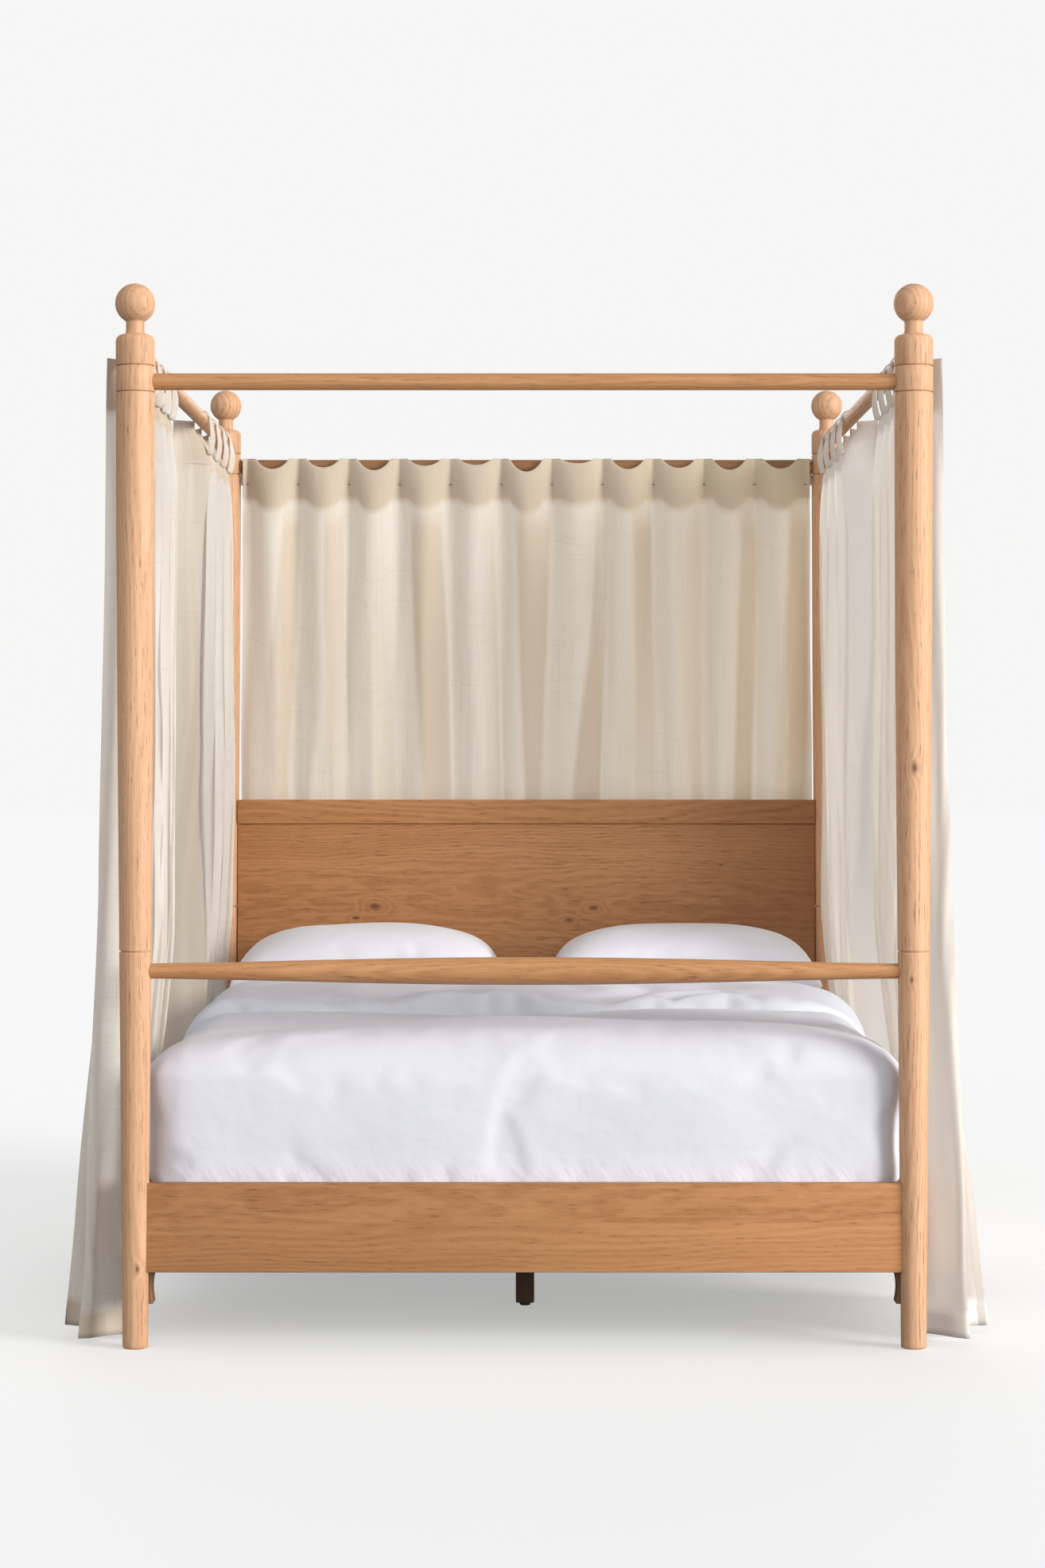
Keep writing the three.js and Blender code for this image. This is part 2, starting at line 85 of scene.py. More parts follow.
# Where the frame stands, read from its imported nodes.
POST_X = middle("corner_collar_front_right").x
POST_Y = middle("corner_collar_rear_right").y
POST_TOP_RADIUS = extent("corner_collar_front_right").x / 2
LOWER_POST_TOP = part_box("lower_post_front_right")[1].z
COLLAR_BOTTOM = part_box("upper_post_front_right")[1].z
FINIAL_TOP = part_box("ball_finial_front_right")[1].z
SIDE_RAIL_Z = middle("canopy_rail_right").z
END_RAIL_Z = middle("canopy_rail_rear").z
RAIL_RADIUS = extent("canopy_rail_rear").z / 2
FOOT_RAIL_Z = middle("foot_rail").z
FOOT_RAIL_RADIUS = extent("foot_rail").z / 2
BOARD_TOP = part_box("footboard")[1].z
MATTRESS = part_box("mattress")


class BedSizes(bpy.types.PropertyGroup):
    """Sizes of the finish work that the frame leaves open."""

    post_swell: FloatProperty(
        name="Post swell", description="How far the taper of a post bellies out",
        default=0.17, min=0, max=0.5)
    edge_round: FloatProperty(
        name="Edge round", description="Radius on the long edges of the boards",
        default=0.0022, min=0.0005, max=0.01, unit="LENGTH")
    joint_groove: FloatProperty(
        name="Joint groove", description="Depth of the dark line where two turned pieces meet",
        default=0.0038, min=0, max=0.006, unit="LENGTH")
    foot_rail_end: FloatProperty(
        name="Foot rail end", description="Radius of the foot rail where it enters the posts",
        default=0.0155, min=0.008, max=0.03, unit="LENGTH")
    mattress_puff: FloatProperty(
        name="Mattress puff", description="How far the ticking swells between its seams",
        default=0.006, min=0, max=0.03, unit="LENGTH")
    duvet_slack: FloatProperty(
        name="Duvet slack", description="Spare cloth in the duvet cover, as a share of its size",
        default=0.035, min=0, max=0.2, subtype="FACTOR")
    duvet_turnback: FloatProperty(
        name="Duvet turn-back", description="Length of duvet folded back over itself at the head end",
        default=0.64, min=0, max=1.2, unit="LENGTH")
    header_height: FloatProperty(
        name="Header height", description="Height of the doubled cloth along a curtain's top",
        default=0.105, min=0.03, max=0.3, unit="LENGTH")
    hem_height: FloatProperty(
        name="Hem height", description="Height of the doubled cloth along a curtain's foot",
        default=0.045, min=0.01, max=0.2, unit="LENGTH")
    tab_width: FloatProperty(
        name="Tab width", description="Width of a side curtain's tab",
        default=0.031, min=0.015, max=0.08, unit="LENGTH")
    back_droop: FloatProperty(
        name="Header droop", description="How far the back curtain's header sinks between tabs",
        default=0.026, min=0, max=0.08, unit="LENGTH")
    cloth_seed: IntProperty(
        name="Fold seed", description="Seed of the irregular folds", default=4, min=0, max=9999)


def colour(name, description, default):
    return FloatVectorProperty(
        name=name, description=description, default=default, subtype="COLOR", min=0, max=1, size=3)


class BedColours(bpy.types.PropertyGroup):
    """Colours of the finishes, in linear light."""

    oak_light: colour("Oak, light", "Late wood and rays of the posts", (0.735, 0.445, 0.268))
    oak_dark: colour("Oak, dark", "Early wood of the posts", (0.50, 0.255, 0.125))
    rail_light: colour("Rails, light", "Late wood of the rails", (0.595, 0.305, 0.136))
    rail_dark: colour("Rails, dark", "Early wood of the rails", (0.38, 0.165, 0.058))
    board_light: colour("Boards, light", "Late wood of the plank boards", (0.56, 0.272, 0.112))
    board_dark: colour("Boards, dark", "Early wood of the plank boards", (0.345, 0.138, 0.042))
    oak_pore: colour("Oak pores", "The open pores and knots of the oak", (0.10, 0.042, 0.016))
    base_wood: colour("Base wood", "Dark stained wood of the base", (0.11, 0.055, 0.028))
    bracket: colour("Brackets", "Stained wood of the corner brackets", (0.30, 0.165, 0.08))
    linen_glow: colour("Linen, lit through", "Curtain linen with light behind it", (0.72, 0.58, 0.38))
    # The pale colour of linen in strong light: the light through the side panels, and painted light on the
    # right panels' hems.
    linen_sheer: colour("Sheer linen", "Side panels lit through, and the right hems", (0.94, 0.885, 0.82))
    thread: colour("Thread", "Brown sewing thread of the bar tacks", (0.22, 0.13, 0.06))
    slat_wood: colour("Slat wood", "Raw softwood of the slats", (0.62, 0.47, 0.30))
    glide: colour("Glides", "Moulded feet of the base legs", (0.025, 0.022, 0.02))
    ticking: colour("Ticking", "Quilted cover of the mattress", (0.72, 0.71, 0.69))
    # The duvet and sheet percale is kept darker than the same percale on the pillows: painted shade for the
    # dim light on the duvet's top.
    cotton: colour("Bed linen", "Washed percale of the duvet and sheet", (0.68, 0.68, 0.74))
    pillow: colour("Pillow cases", "Washed percale of the pillows", (0.74, 0.74, 0.795))
    linen: colour("Curtain linen", "Single thickness of the curtains", (0.90, 0.865, 0.82))
    linen_double: colour("Curtain hems", "Doubled cloth of the headers and hems", (0.58, 0.465, 0.335))
    floor: colour("Floor", "The pale studio floor", (0.64, 0.64, 0.635))


# ---------------------------------------------------------------- shader building


class Value:
    """A number in a shader tree. Arithmetic on it adds Math nodes."""

    def __init__(self, finish, socket):
        self.finish = finish
        self.socket = socket

    def math(self, operation, *others):
        return self.finish.math(operation, self, *others)

    def __add__(self, other):
        return self.math("ADD", other)

    def __sub__(self, other):
        return self.math("SUBTRACT", other)

    def __rsub__(self, other):
        return self.finish.math("SUBTRACT", other, self)

    def __mul__(self, other):
        return self.math("MULTIPLY", other)

    def __truediv__(self, other):
        return self.math("DIVIDE", other)

    def __pow__(self, other):
        return self.math("POWER", other)

    def __rpow__(self, other):
        return self.finish.math("POWER", other, self)

    def __gt__(self, other):
        return self.math("GREATER_THAN", other)

    def __abs__(self):
        return self.math("ABSOLUTE")

    __radd__ = __add__
    __rmul__ = __mul__

    def sine(self):
        return self.math("SINE")

    def clamped(self):
        return self.finish.math("MINIMUM", self.finish.math("MAXIMUM", self, 0.0), 1.0)

    def rise(self, low, high):
        """0 below low, 1 above high and a smooth step between."""
        node = self.finish.node(
            "ShaderNodeMapRange",
            {"interpolation_type": "SMOOTHSTEP"},
            {"Value": self, "From Min": low, "From Max": high},
        )
        return Value(self.finish, node.outputs["Result"])


class Finish:
    """The shader tree of one material, or of the world, under construction."""

    def __init__(self, owner):
        owner.use_nodes = True
        self.owner = owner
        self.tree = owner.node_tree
        self.tree.nodes.clear()

    def node(self, kind, settings=None, sockets=None):
        """Adds a node. Its settings are set first, then its sockets are given values or links."""
        node = self.tree.nodes.new(kind)
        for key, value in (settings or {}).items():
            setattr(node, key, value)
        for key, value in (sockets or {}).items():
            if isinstance(value, Value):
                value = value.socket
            if isinstance(value, bpy.types.NodeSocket):
                self.tree.links.new(value, node.inputs[key])
            else:
                node.inputs[key].default_value = value
        return node

    def math(self, operation, *values):
        node = self.node("ShaderNodeMath", {"operation": operation}, dict(enumerate(values)))
        return Value(self, node.outputs[0])

    def place(self):
        """The x, y and z of a point on the piece, in metres."""
        return self.split(self.node("ShaderNodeTexCoord").outputs["Object"])

    def split(self, vector):
        node = self.node("ShaderNodeSeparateXYZ", sockets={"Vector": vector})
        return [Value(self, output) for output in node.outputs]

    def vector(self, x, y, z):
        return self.node("ShaderNodeCombineXYZ", sockets={"X": x, "Y": y, "Z": z}).outputs[0]

    def noise(self, x, y, z, detail=2.0, roughness=0.5):
        """Noise from about 0 to 1 with its middle at 0.5, one lump for each unit of x, y and z."""
        sockets = {"Vector": self.vector(x, y, z), "Scale": 1.0, "Detail": detail, "Roughness": roughness}
        return Value(self, self.node("ShaderNodeTexNoise", sockets=sockets).outputs["Fac"])

    def mix(self, factor, a, b):
        """A colour between a and b."""
        sockets = {0: factor, 6: self.rgba(a), 7: self.rgba(b)}
        return self.node("ShaderNodeMix", {"data_type": "RGBA"}, sockets).outputs[2]

    @staticmethod
    def rgba(value):
        return value if isinstance(value, bpy.types.NodeSocket) else (*value, 1.0)

    def bump(self, height, distance, strength=1.0):
        sockets = {"Height": height, "Distance": distance, "Strength": strength}
        return self.node("ShaderNodeBump", sockets=sockets).outputs["Normal"]

    def surface(self, base, roughness, normal=None, **constants):
        """The Principled shader. Constants are named by their sockets, with _ for a space."""
        sockets = {"Base Color": self.rgba(base), "Roughness": roughness}
        if normal is not None:
            sockets["Normal"] = normal
        sockets.update({key.replace("_", " "): value for key, value in constants.items()})
        return self.node("ShaderNodeBsdfPrincipled", sockets=sockets).outputs["BSDF"]

    def finished(self, shader):
        """Gives the material its shader and hands the material back."""
        self.node("ShaderNodeOutputMaterial", sockets={"Surface": shader})
        return self.owner


def made_once(build):
    """Builds a material the first time that it is asked for under its name."""

    def asked(name, *args, **kwargs):
        return bpy.data.materials.get(name) or build(name, *args, **kwargs)

    return asked


def colours():
    return bpy.context.scene.bed_colours


def sizes():
    return bpy.context.scene.bed_sizes


# ---------------------------------------------------------------- finishes


@made_once
def oak(name, grain, light, dark, heart=(0.0, 0.0), ring=0.0075, plank_seams=(), knots=(), fold=(0.0, 0.0),
        deepens=None):
    """Oiled oak whose grain runs along one axis.

    heart is where the tree's middle lies in the two axes across the grain, and fold mirrors a
    piece's place onto one side first. plank_seams are heights across the grain where one plank
    meets the next. knots are (along, across, radius). The last argument is painted shade: an
    amount, and where along the grain the colour starts and ends getting deeper for it.
    """
    f = Finish(bpy.data.materials.new(name))
    axes = {"x": (0, 2, 1), "y": (1, 2, 0), "z": (2, 0, 1)}[grain]
    place = f.place()
    along, across, depth = (place[i] for i in axes)

    plank = 0.0
    for seam in plank_seams:
        plank = (across > seam) + plank
    shifted = along + plank * 0.71 if plank_seams else along
    a = (abs(across) - fold[0] if fold[0] else across) - heart[0]
    d = (abs(depth) - fold[1] if fold[1] else depth) - heart[1]

    wander = f.noise(across * 5.0, depth * 5.0, shifted * 1.1, detail=3.0, roughness=0.45)
    waver = f.noise(across * 40.0, depth * 40.0, shifted * 11.0, detail=3.0)
    radius = (a * a + d * d) ** 0.5 + wander * 0.075 + waver * (plank * 0.010 + 0.004)
    dark_knot = None
    for knot_along, knot_across, size in knots:
        reach = ((along - knot_along) / (1.9 * size)) ** 2.0 + ((across - knot_across) / size) ** 2.0
        pull = 2.718 ** (reach * -0.35)
        radius = radius + pull * (1.6 * size)
        core = 2.718 ** (reach * -2.2)
        dark_knot = core if dark_knot is None else dark_knot + core
    rings = (radius * (6.2832 / ring)).sine() * 0.5 + 0.5
    if plank_seams:
        rings = rings * (0.75 + plank * 0.25)

    streaks = f.noise(across * 120.0, depth * 120.0, shifted * 2.6, detail=4.0, roughness=0.6)
    patches = f.noise(across * 11.0, depth * 11.0, shifted * 1.1, detail=2.0)
    pores = f.noise(across * 340.0, depth * 340.0, shifted * 24.0, detail=2.0, roughness=0.6).rise(0.55, 0.70)
    pores = pores * (0.35 + rings * 0.65)
    rays = f.noise(across * 190.0, depth * 190.0, shifted * 38.0, detail=1.0).rise(0.66, 0.74)

    shade = rings * 0.30 + (streaks - 0.5) * 0.85 + (patches - 0.5) * 0.60 + 0.30
    if plank_seams:
        shade = shade + plank * 0.10
    base = f.mix(shade.clamped(), light, dark)
    base = f.mix(rays * 0.28, base, tuple(min(1.0, c * 1.12) for c in light))
    base = f.mix(pores * 0.50, base, colours().oak_pore)
    # Painted shade: the colour darkens along the grain between the two given places.
    if deepens:
        amount, start, end = deepens
        base = f.mix(along.rise(start, end) * amount, base, (dark[0] * 0.36, dark[1] * 0.28, dark[2] * 0.20))
    if dark_knot is not None:
        base = f.mix((dark_knot * 0.9).clamped(), base, colours().oak_pore)
    roughness = 0.50 + pores * 0.22 + streaks * 0.08
    normal = f.bump(rings * 0.25 - pores, 0.0004, 0.55)
    return f.finished(f.surface(base, roughness, normal, Specular_IOR_Level=0.38))


def post_oak():
    knots = [(0.166, -0.797, 0.006), (0.762, 0.797, 0.005), (1.198, 0.802, 0.009)]
    return oak("oak_posts", "z", colours().oak_light, colours().oak_dark,
               heart=(-0.09, 0.11), ring=0.008, knots=knots, fold=(POST_X, POST_Y))


def finial_oak():
    return oak("oak_finials", "z", colours().oak_light, colours().oak_dark,
               heart=(-0.16, 0.19), ring=0.011, fold=(POST_X, POST_Y))


# depth scales both colours of a rail; below 1 it is painted shade.
def rail_oak(name, grain, fold, heart, depth=1.0):
    light, dark = (tuple(c * depth for c in tone) for tone in (colours().rail_light, colours().rail_dark))
    return oak(name, grain, light, dark, heart=heart, ring=0.006, fold=fold)


# Painted shade on the boards: how much they darken, and from where to where across the bed.
# The headboard darkens towards its right end, where the right curtains shade it, and the
# footboard towards its left end, away from the light on the right.
HEADBOARD_PAINTED_SHADE = (0.66, 0.15, 0.80)
FOOTBOARD_PAINTED_SHADE = (0.14, 0.80, -0.10)


def board_oak(name, depth, heart_height, plank_seams=(), knots=(), grain="x", deepens=None):
    return oak(name, grain, colours().board_light, colours().board_dark, heart=(heart_height, depth),
               ring=0.0065, plank_seams=plank_seams, knots=knots, deepens=deepens)


@made_once
def softwood(name, tint, grain):
    """Sawn softwood with broad rings, under a thin matt stain or left raw."""
    f = Finish(bpy.data.materials.new(name))
    place = f.place()
    along, across, depth = (place[i] for i in {"x": (0, 1, 2), "y": (1, 0, 2), "z": (2, 0, 1)}[grain])
    wander = f.noise(across * 6.0, depth * 6.0, along * 1.2, detail=2.0)
    rings = ((across + depth * 0.6 + wander * 0.06) * 900.0).sine() * 0.5 + 0.5
    saw = f.noise(across * 300.0, depth * 300.0, along * 60.0, detail=2.0)
    shade = (rings ** 3.0) * 0.35 + saw * 0.45
    base = f.mix(shade.clamped(), tint, tuple(c * 0.55 for c in tint))
    normal = f.bump(rings * 0.4 + saw, 0.0005, 0.5)
    return f.finished(f.surface(base, 0.62 + saw * 0.2, normal))


@made_once
def moulded_plastic(name, tint):
    """Matt moulded plastic with a fine spark texture and scuffed ends."""
    f = Finish(bpy.data.materials.new(name))
    x, y, z = f.place()
    grit = f.noise(x * 1500.0, y * 1500.0, z * 1500.0, detail=2.0)
    scuffs = f.noise(x * 160.0, y * 160.0, z * 160.0, detail=4.0).rise(0.55, 0.75)
    base = f.mix(scuffs * 0.35, tint, tuple(c * 2.5 + 0.02 for c in tint))
    return f.finished(f.surface(base, 0.5 + scuffs * 0.25, f.bump(grit, 0.0002, 0.6)))


@made_once
def quilted_ticking(name, tint):
    """Woven ticking quilted in a diamond pattern."""
    f = Finish(bpy.data.materials.new(name))
    x, y, z = f.place()
    run = x + y
    cross = x - y + z
    seam = abs((run * 28.0).sine()).rise(0.0, 0.35) * abs((cross * 28.0).sine()).rise(0.0, 0.35)
    yarn = f.noise(x * 900.0, y * 900.0, z * 900.0, detail=2.0)
    base = f.mix((1 - seam) * 0.25 + yarn * 0.12, tint, tuple(c * 0.78 for c in tint))
    normal = f.bump(seam * 4.0 + yarn, 0.0008, 0.7)
    return f.finished(f.surface(base, 0.85 + yarn * 0.1, normal, Sheen_Weight=0.15))


@made_once
def percale(name, tint, creases=1.0, tucked_at=None):
    """Washed cotton percale with a tight weave and soft creases.

    tucked_at is the height of a board that the cloth is pushed down behind, where it gathers.
    """
    f = Finish(bpy.data.materials.new(name))
    x, y, z = f.place()
    yarn = f.noise(x * 1100.0, y * 1100.0, z * 1100.0, detail=2.0)
    soft = f.noise(x * 6.0, y * 4.0, z * 7.0, detail=3.0, roughness=0.5)
    fine = f.noise(x * 24.0, y * 14.0, z * 26.0, detail=3.0)
    blotch = f.noise(x * 2.2, y * 2.2, z * 2.2, detail=2.0)
    base = f.mix(yarn * 0.10 + blotch * 0.12, tint, tuple(c * 0.86 for c in tint))
    height = soft * (9.0 * creases) + fine * (1.6 * creases) + yarn * 0.12
    if tucked_at is not None:
        gather = f.noise((x + z * 0.6) * 17.0, y * 4.0, (z - x * 0.3) * 6.0, detail=3.0)
        height = height + gather * (11.0 * (1 - z.rise(tucked_at - 0.01, tucked_at + 0.07)))
    normal = f.bump(height, 0.0011, 0.6)
    return f.finished(f.surface(base, 0.82 + yarn * 0.1, normal, Sheen_Weight=0.12))


@made_once
def curtain_linen(name, tint, doubled, lit_through, translucency, deepens=None):
    """Loose plain-weave linen with slubbed yarns both ways. It glows where light falls on its back.

    The cloth attribute holds the distance across and up the flat cloth in metres, and 1 in its
    third place where the cloth is doubled; painted shade in the folds also puts values up to 1
    there on single cloth. The last argument is painted shade: an amount, and the places across
    the bed between which the cloth gets deeper in colour.
    """
    f = Finish(bpy.data.materials.new(name))
    u, v, layers = f.split(f.node("ShaderNodeAttribute", {"attribute_name": "cloth"}).outputs["Vector"])
    warp = f.noise(u * 420.0, v * 6.0, layers, detail=3.0, roughness=0.6)
    weft = f.noise(u * 7.0, v * 420.0, layers, detail=3.0, roughness=0.6)
    warp_slub = f.noise(u * 150.0, v * 3.0, layers, detail=2.0).rise(0.58, 0.72)
    weft_slub = f.noise(u * 3.5, v * 150.0, layers, detail=2.0).rise(0.58, 0.72)
    weave = (u * 5600.0).sine() * (v * 5600.0).sine()
    crumple = f.noise(u * 16.0, v * 5.0, layers, detail=4.0, roughness=0.6)
    thread = warp * 0.5 + weft * 0.5
    base = f.mix((thread.rise(0.36, 0.66) * 0.24 + (warp_slub + weft_slub) * 0.16).clamped(), tint, doubled)
    base = f.mix(layers * 0.80, base, doubled)
    drape = f.noise(u * 26.0, v * 1.1, 0.0, detail=3.0, roughness=0.55).rise(0.42, 0.68)
    base = f.mix(drape * 0.22, base, lit_through)
    # Painted shade: the cloth darkens towards the lit-through tan across the bed, in uneven stripes.
    if deepens:
        amount, start, end = deepens
        x, _, _ = f.place()
        stripes = f.noise(u * 9.0, v * 0.5, 0.0, detail=2.0).rise(0.35, 0.65)
        base = f.mix(x.rise(start, end) * (0.45 + stripes * 0.55) * amount, base, lit_through)
    height = thread * 1.2 + (warp_slub + weft_slub) * 0.5 + weave * 0.12 + crumple * 5.0
    normal = f.bump(height, 0.0009, 0.55)
    cloth = f.surface(base, 0.88 + warp * 0.08, normal, Sheen_Weight=0.1)
    warm = tuple(0.34 * own + 0.66 * lit for own, lit in zip(tint, lit_through))
    glow = f.node("ShaderNodeBsdfTranslucent", sockets={"Color": f.rgba(warm), "Normal": normal}).outputs[0]
    through = translucency * (1 - layers * 0.68) * (1.12 - thread * 0.24) * (1.05 - drape * 0.22)
    return f.finished(f.node("ShaderNodeMixShader", sockets={0: through, 1: cloth, 2: glow}).outputs[0])


def side_linen(side):
    """The right panels' hems take the pale lit colour, painted light for the key that falls on the right
    side, and more light comes through the right panels than the left.
    """
    doubled = {"left": colours().linen_double, "right": colours().linen_sheer}[side]
    translucency = {"left": 0.48, "right": 0.58}[side]
    return curtain_linen(f"linen_{side}_curtains", colours().linen, doubled, colours().linen_sheer,
                         translucency)


def back_linen():
    # The back curtain darkens towards the bed's right as painted shade from the right curtains.
    return curtain_linen("linen_back_curtain", colours().linen, colours().linen_double, colours().linen_glow,
                         translucency=0.40, deepens=(0.5, -0.2, 0.8))


@made_once
def sewing_thread(name, tint):
    """Twisted thread, lighter and darker along its twist."""
    f = Finish(bpy.data.materials.new(name))
    x, y, z = f.place()
    twist = ((x + y + z) * 9000.0).sine() * 0.5 + 0.5
    base = f.mix(twist * 0.3, tint, tuple(c * 0.7 for c in tint))
    return f.finished(f.surface(base, 0.8 + twist * 0.1, f.bump(twist, 0.0002, 0.5)))


@made_once
def webbing(name, tint):
    """Woven strap with a herringbone rib."""
    f = Finish(bpy.data.materials.new(name))
    x, y, _ = f.place()
    rib = ((x + abs((y * 260.0).sine()) * 0.002) * 2600.0).sine() * 0.5 + 0.5
    base = f.mix(rib * 0.4, tint, tuple(c * 0.6 for c in tint))
    return f.finished(f.surface(base, 0.8 + rib * 0.1, f.bump(rib, 0.0004, 0.6)))


@made_once
def studio_floor(name, tint):
    """Pale matt sweep, lifted a little by its own light as a lit backdrop is."""
    f = Finish(bpy.data.materials.new(name))
    x, y, _ = f.place()
    mottle = f.noise(x * 0.8, y * 0.8, 0.0, detail=2.0)
    base = f.mix(mottle * 0.06, tint, tuple(c * 0.95 for c in tint))
    seen = f.surface(base, 0.9 + mottle * 0.05, Specular_IOR_Level=0.0, Emission_Strength=FLOOR_LIFT,
                     Emission_Color=(0.96, 0.96, 0.955, 1.0))
    met = f.surface(tuple(c * FLOOR_BOUNCE for c in tint), 0.9 + mottle * 0.05, Specular_IOR_Level=0.0)
    looked_at = f.node("ShaderNodeLightPath").outputs["Is Camera Ray"]
    return f.finished(f.node("ShaderNodeMixShader", sockets={0: looked_at, 1: met, 2: seen}).outputs[0])


# ---------------------------------------------------------------- mesh building


def new_piece(name, points, faces, finish, sharp=None):
    """An object from points and faces. sharp is the angle in degrees over which an edge stays crisp."""
    mesh = bpy.data.meshes.new(name)
    mesh.from_pydata([tuple(map(float, p)) for p in points], [], [tuple(map(int, face)) for face in faces])
    mesh.materials.append(finish)
    mesh.shade_smooth()
    if sharp is not None:
        mesh.set_sharp_from_angle(angle=math.radians(sharp))
    piece = bpy.data.objects.new(name, mesh)
    bpy.context.scene.collection.objects.link(piece)
    return piece


def stands_for(piece, slot, *nodes, body="root"):
    """The piece takes the place of CAD nodes on a body."""
    if nodes:
        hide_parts(*nodes)
    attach(piece, body)
    return piece


def coordinates(piece):
    flat = np.empty(len(piece.data.vertices) * 3)
    piece.data.vertices.foreach_get("co", flat)
    return flat.reshape(-1, 3)


def set_coordinates(piece, points):
    piece.data.vertices.foreach_set("co", np.ascontiguousarray(points, float).ravel())
    piece.data.update()


def apply_modifiers(piece):
    """Replaces the mesh by what its modifiers make of it."""
    bpy.context.view_layer.update()
    shown = piece.evaluated_get(bpy.context.evaluated_depsgraph_get())
    mesh = bpy.data.meshes.new_from_object(shown)
    old = piece.data
    piece.modifiers.clear()
    piece.data = mesh
    bpy.data.meshes.remove(old)


def clean_loose(piece):
    """Takes away points that no face uses."""
    work = bmesh.new()
    work.from_mesh(piece.data)
    bmesh.ops.delete(work, geom=[v for v in work.verts if not v.link_faces], context="VERTS")
    work.to_mesh(piece.data)
    work.free()


def set_facing_out(piece):
    """Turns every face of a closed piece outwards."""
    work = bmesh.new()
    work.from_mesh(piece.data)
    bmesh.ops.recalc_face_normals(work, faces=work.faces[:])
    work.to_mesh(piece.data)
    work.free()


# How a piece turned about +Z is laid along another axis.
AXIS_TURNS = {
    "z": lambda p: p,
    "x": lambda p: p[:, [2, 0, 1]],
    "y": lambda p: p[:, [1, 2, 0]],
}


def turned(name, profile, axis, centre, finish, sides=96, sharp=30):
    """A turned piece from (radius, height) points along an axis. Points on the axis close its ends."""
    points, rings = [], []
    for radius, height in profile:
        if radius < 1e-9:
            rings.append([len(points)])
            points.append((0.0, 0.0, height))
            continue
        rings.append(list(range(len(points), len(points) + sides)))
        for i in range(sides):
            turn = 2 * math.pi * i / sides
            points.append((radius * math.cos(turn), radius * math.sin(turn), height))
    faces = []
    for lower, upper in zip(rings, rings[1:]):
        for i in range(sides):
            j = (i + 1) % sides
            if len(lower) == 1:
                faces.append((lower[0], upper[j], upper[i]))
            elif len(upper) == 1:
                faces.append((lower[i], lower[j], upper[0]))
            else:
                faces.append((lower[i], lower[j], upper[j], upper[i]))
    placed = AXIS_TURNS[axis](np.array(points)) + np.array(centre)
    return new_piece(name, placed, faces, finish, sharp)


def arc(centre, radius, start, end, steps):
    """Points of an arc in (radius, height), its angles in degrees from the outward direction."""
    turns = np.radians(np.linspace(start, end, steps + 1))
    return [(centre[0] + radius * math.cos(t), centre[1] + radius * math.sin(t)) for t in turns]


def box_mesh(low, high, ease, segments=2):
    """Points and faces of a box with rounded edges."""
    work = bmesh.new()
    bmesh.ops.create_cube(work, size=1.0)
    for vertex in work.verts:
        vertex.co = Vector((low[i] if vertex.co[i] < 0 else high[i]) for i in range(3))
    bmesh.ops.bevel(work, geom=work.edges[:], offset=ease, segments=segments, profile=0.5, affect="EDGES")
    work.verts.index_update()
    points = [tuple(v.co) for v in work.verts]
    faces = [tuple(v.index for v in face.verts) for face in work.faces]
    work.free()
    return points, faces


def eased_board(name, low, high, finish, ease=None):
    """A board with all its edges rounded."""
    return new_piece(name, *box_mesh(low, high, ease or sizes().edge_round, segments=3), finish, 40)


def closed_tube(name, path, radius, finish, sides=10):
    """A closed rope of round section through a loop of points."""
    path = np.array(path)
    count = len(path)
    ahead = np.roll(path, -1, axis=0) - np.roll(path, 1, axis=0)
    ahead /= np.linalg.norm(ahead, axis=1, keepdims=True)
    side = np.cross(ahead, (0, 0, 1))
    side /= np.linalg.norm(side, axis=1, keepdims=True)
    top = np.cross(side, ahead)
    points = []
    for i in range(count):
        for j in range(sides):
            turn = 2 * math.pi * j / sides
            points.append(path[i] + radius * (math.cos(turn) * side[i] + math.sin(turn) * top[i]))
    faces = []
    for i in range(count):
        for j in range(sides):
            a, b = i * sides + j, i * sides + (j + 1) % sides
            c, d = ((i + 1) % count) * sides + (j + 1) % sides, ((i + 1) % count) * sides + j
            faces.append((a, b, c, d))
    return new_piece(name, points, faces, finish)


def grid_faces(rows, columns, first=0):
    """Quads of a grid whose points are listed row by row."""
    faces = []
    for i in range(rows - 1):
        start = first + i * columns
        for j in range(columns - 1):
            faces.append((start + j, start + j + 1, start + columns + j + 1, start + columns + j))
    return faces


def joined(name, parts, finish, sharp=40):
    """One object from several lists of points and faces."""
    points, faces = [], []
    for part_points, part_faces in parts:
        first = len(points)
        points.extend(part_points)
        faces.extend(tuple(first + i for i in face) for face in part_faces)
    return new_piece(name, points, faces, finish, sharp)


class Drift:
    """A smooth random surface over two directions: slow waves with seeded headings and phases."""

    def __init__(self, seed, waves=7, along=1.0, up=1.0):
        draw = np.random.default_rng(seed)
        self.along = draw.uniform(0.4, 1.6, waves) * draw.choice((-1, 1), waves) * along * 2 * math.pi
        self.up = draw.uniform(0.3, 1.5, waves) * up * 2 * math.pi
        self.phase = draw.uniform(0, 2 * math.pi, waves)

    def __call__(self, s, z):
        total = 0.0
        for along, up, phase in zip(self.along, self.up, self.phase):
            total = total + np.sin(along * s + up * z + phase)
        return total / math.sqrt(len(self.phase))


def smooth_step(value, low, high):
    t = np.clip((value - low) / (high - low), 0, 1)
    return t * t * (3 - 2 * t)


def eased(value, heights, levels, blur):
    """A curve through levels at heights, with its corners rounded over blur."""
    shifts = np.linspace(-blur, blur, 9)
    return sum(np.interp(value + shift, heights, levels) for shift in shifts) / len(shifts)


# ---------------------------------------------------------------- frame


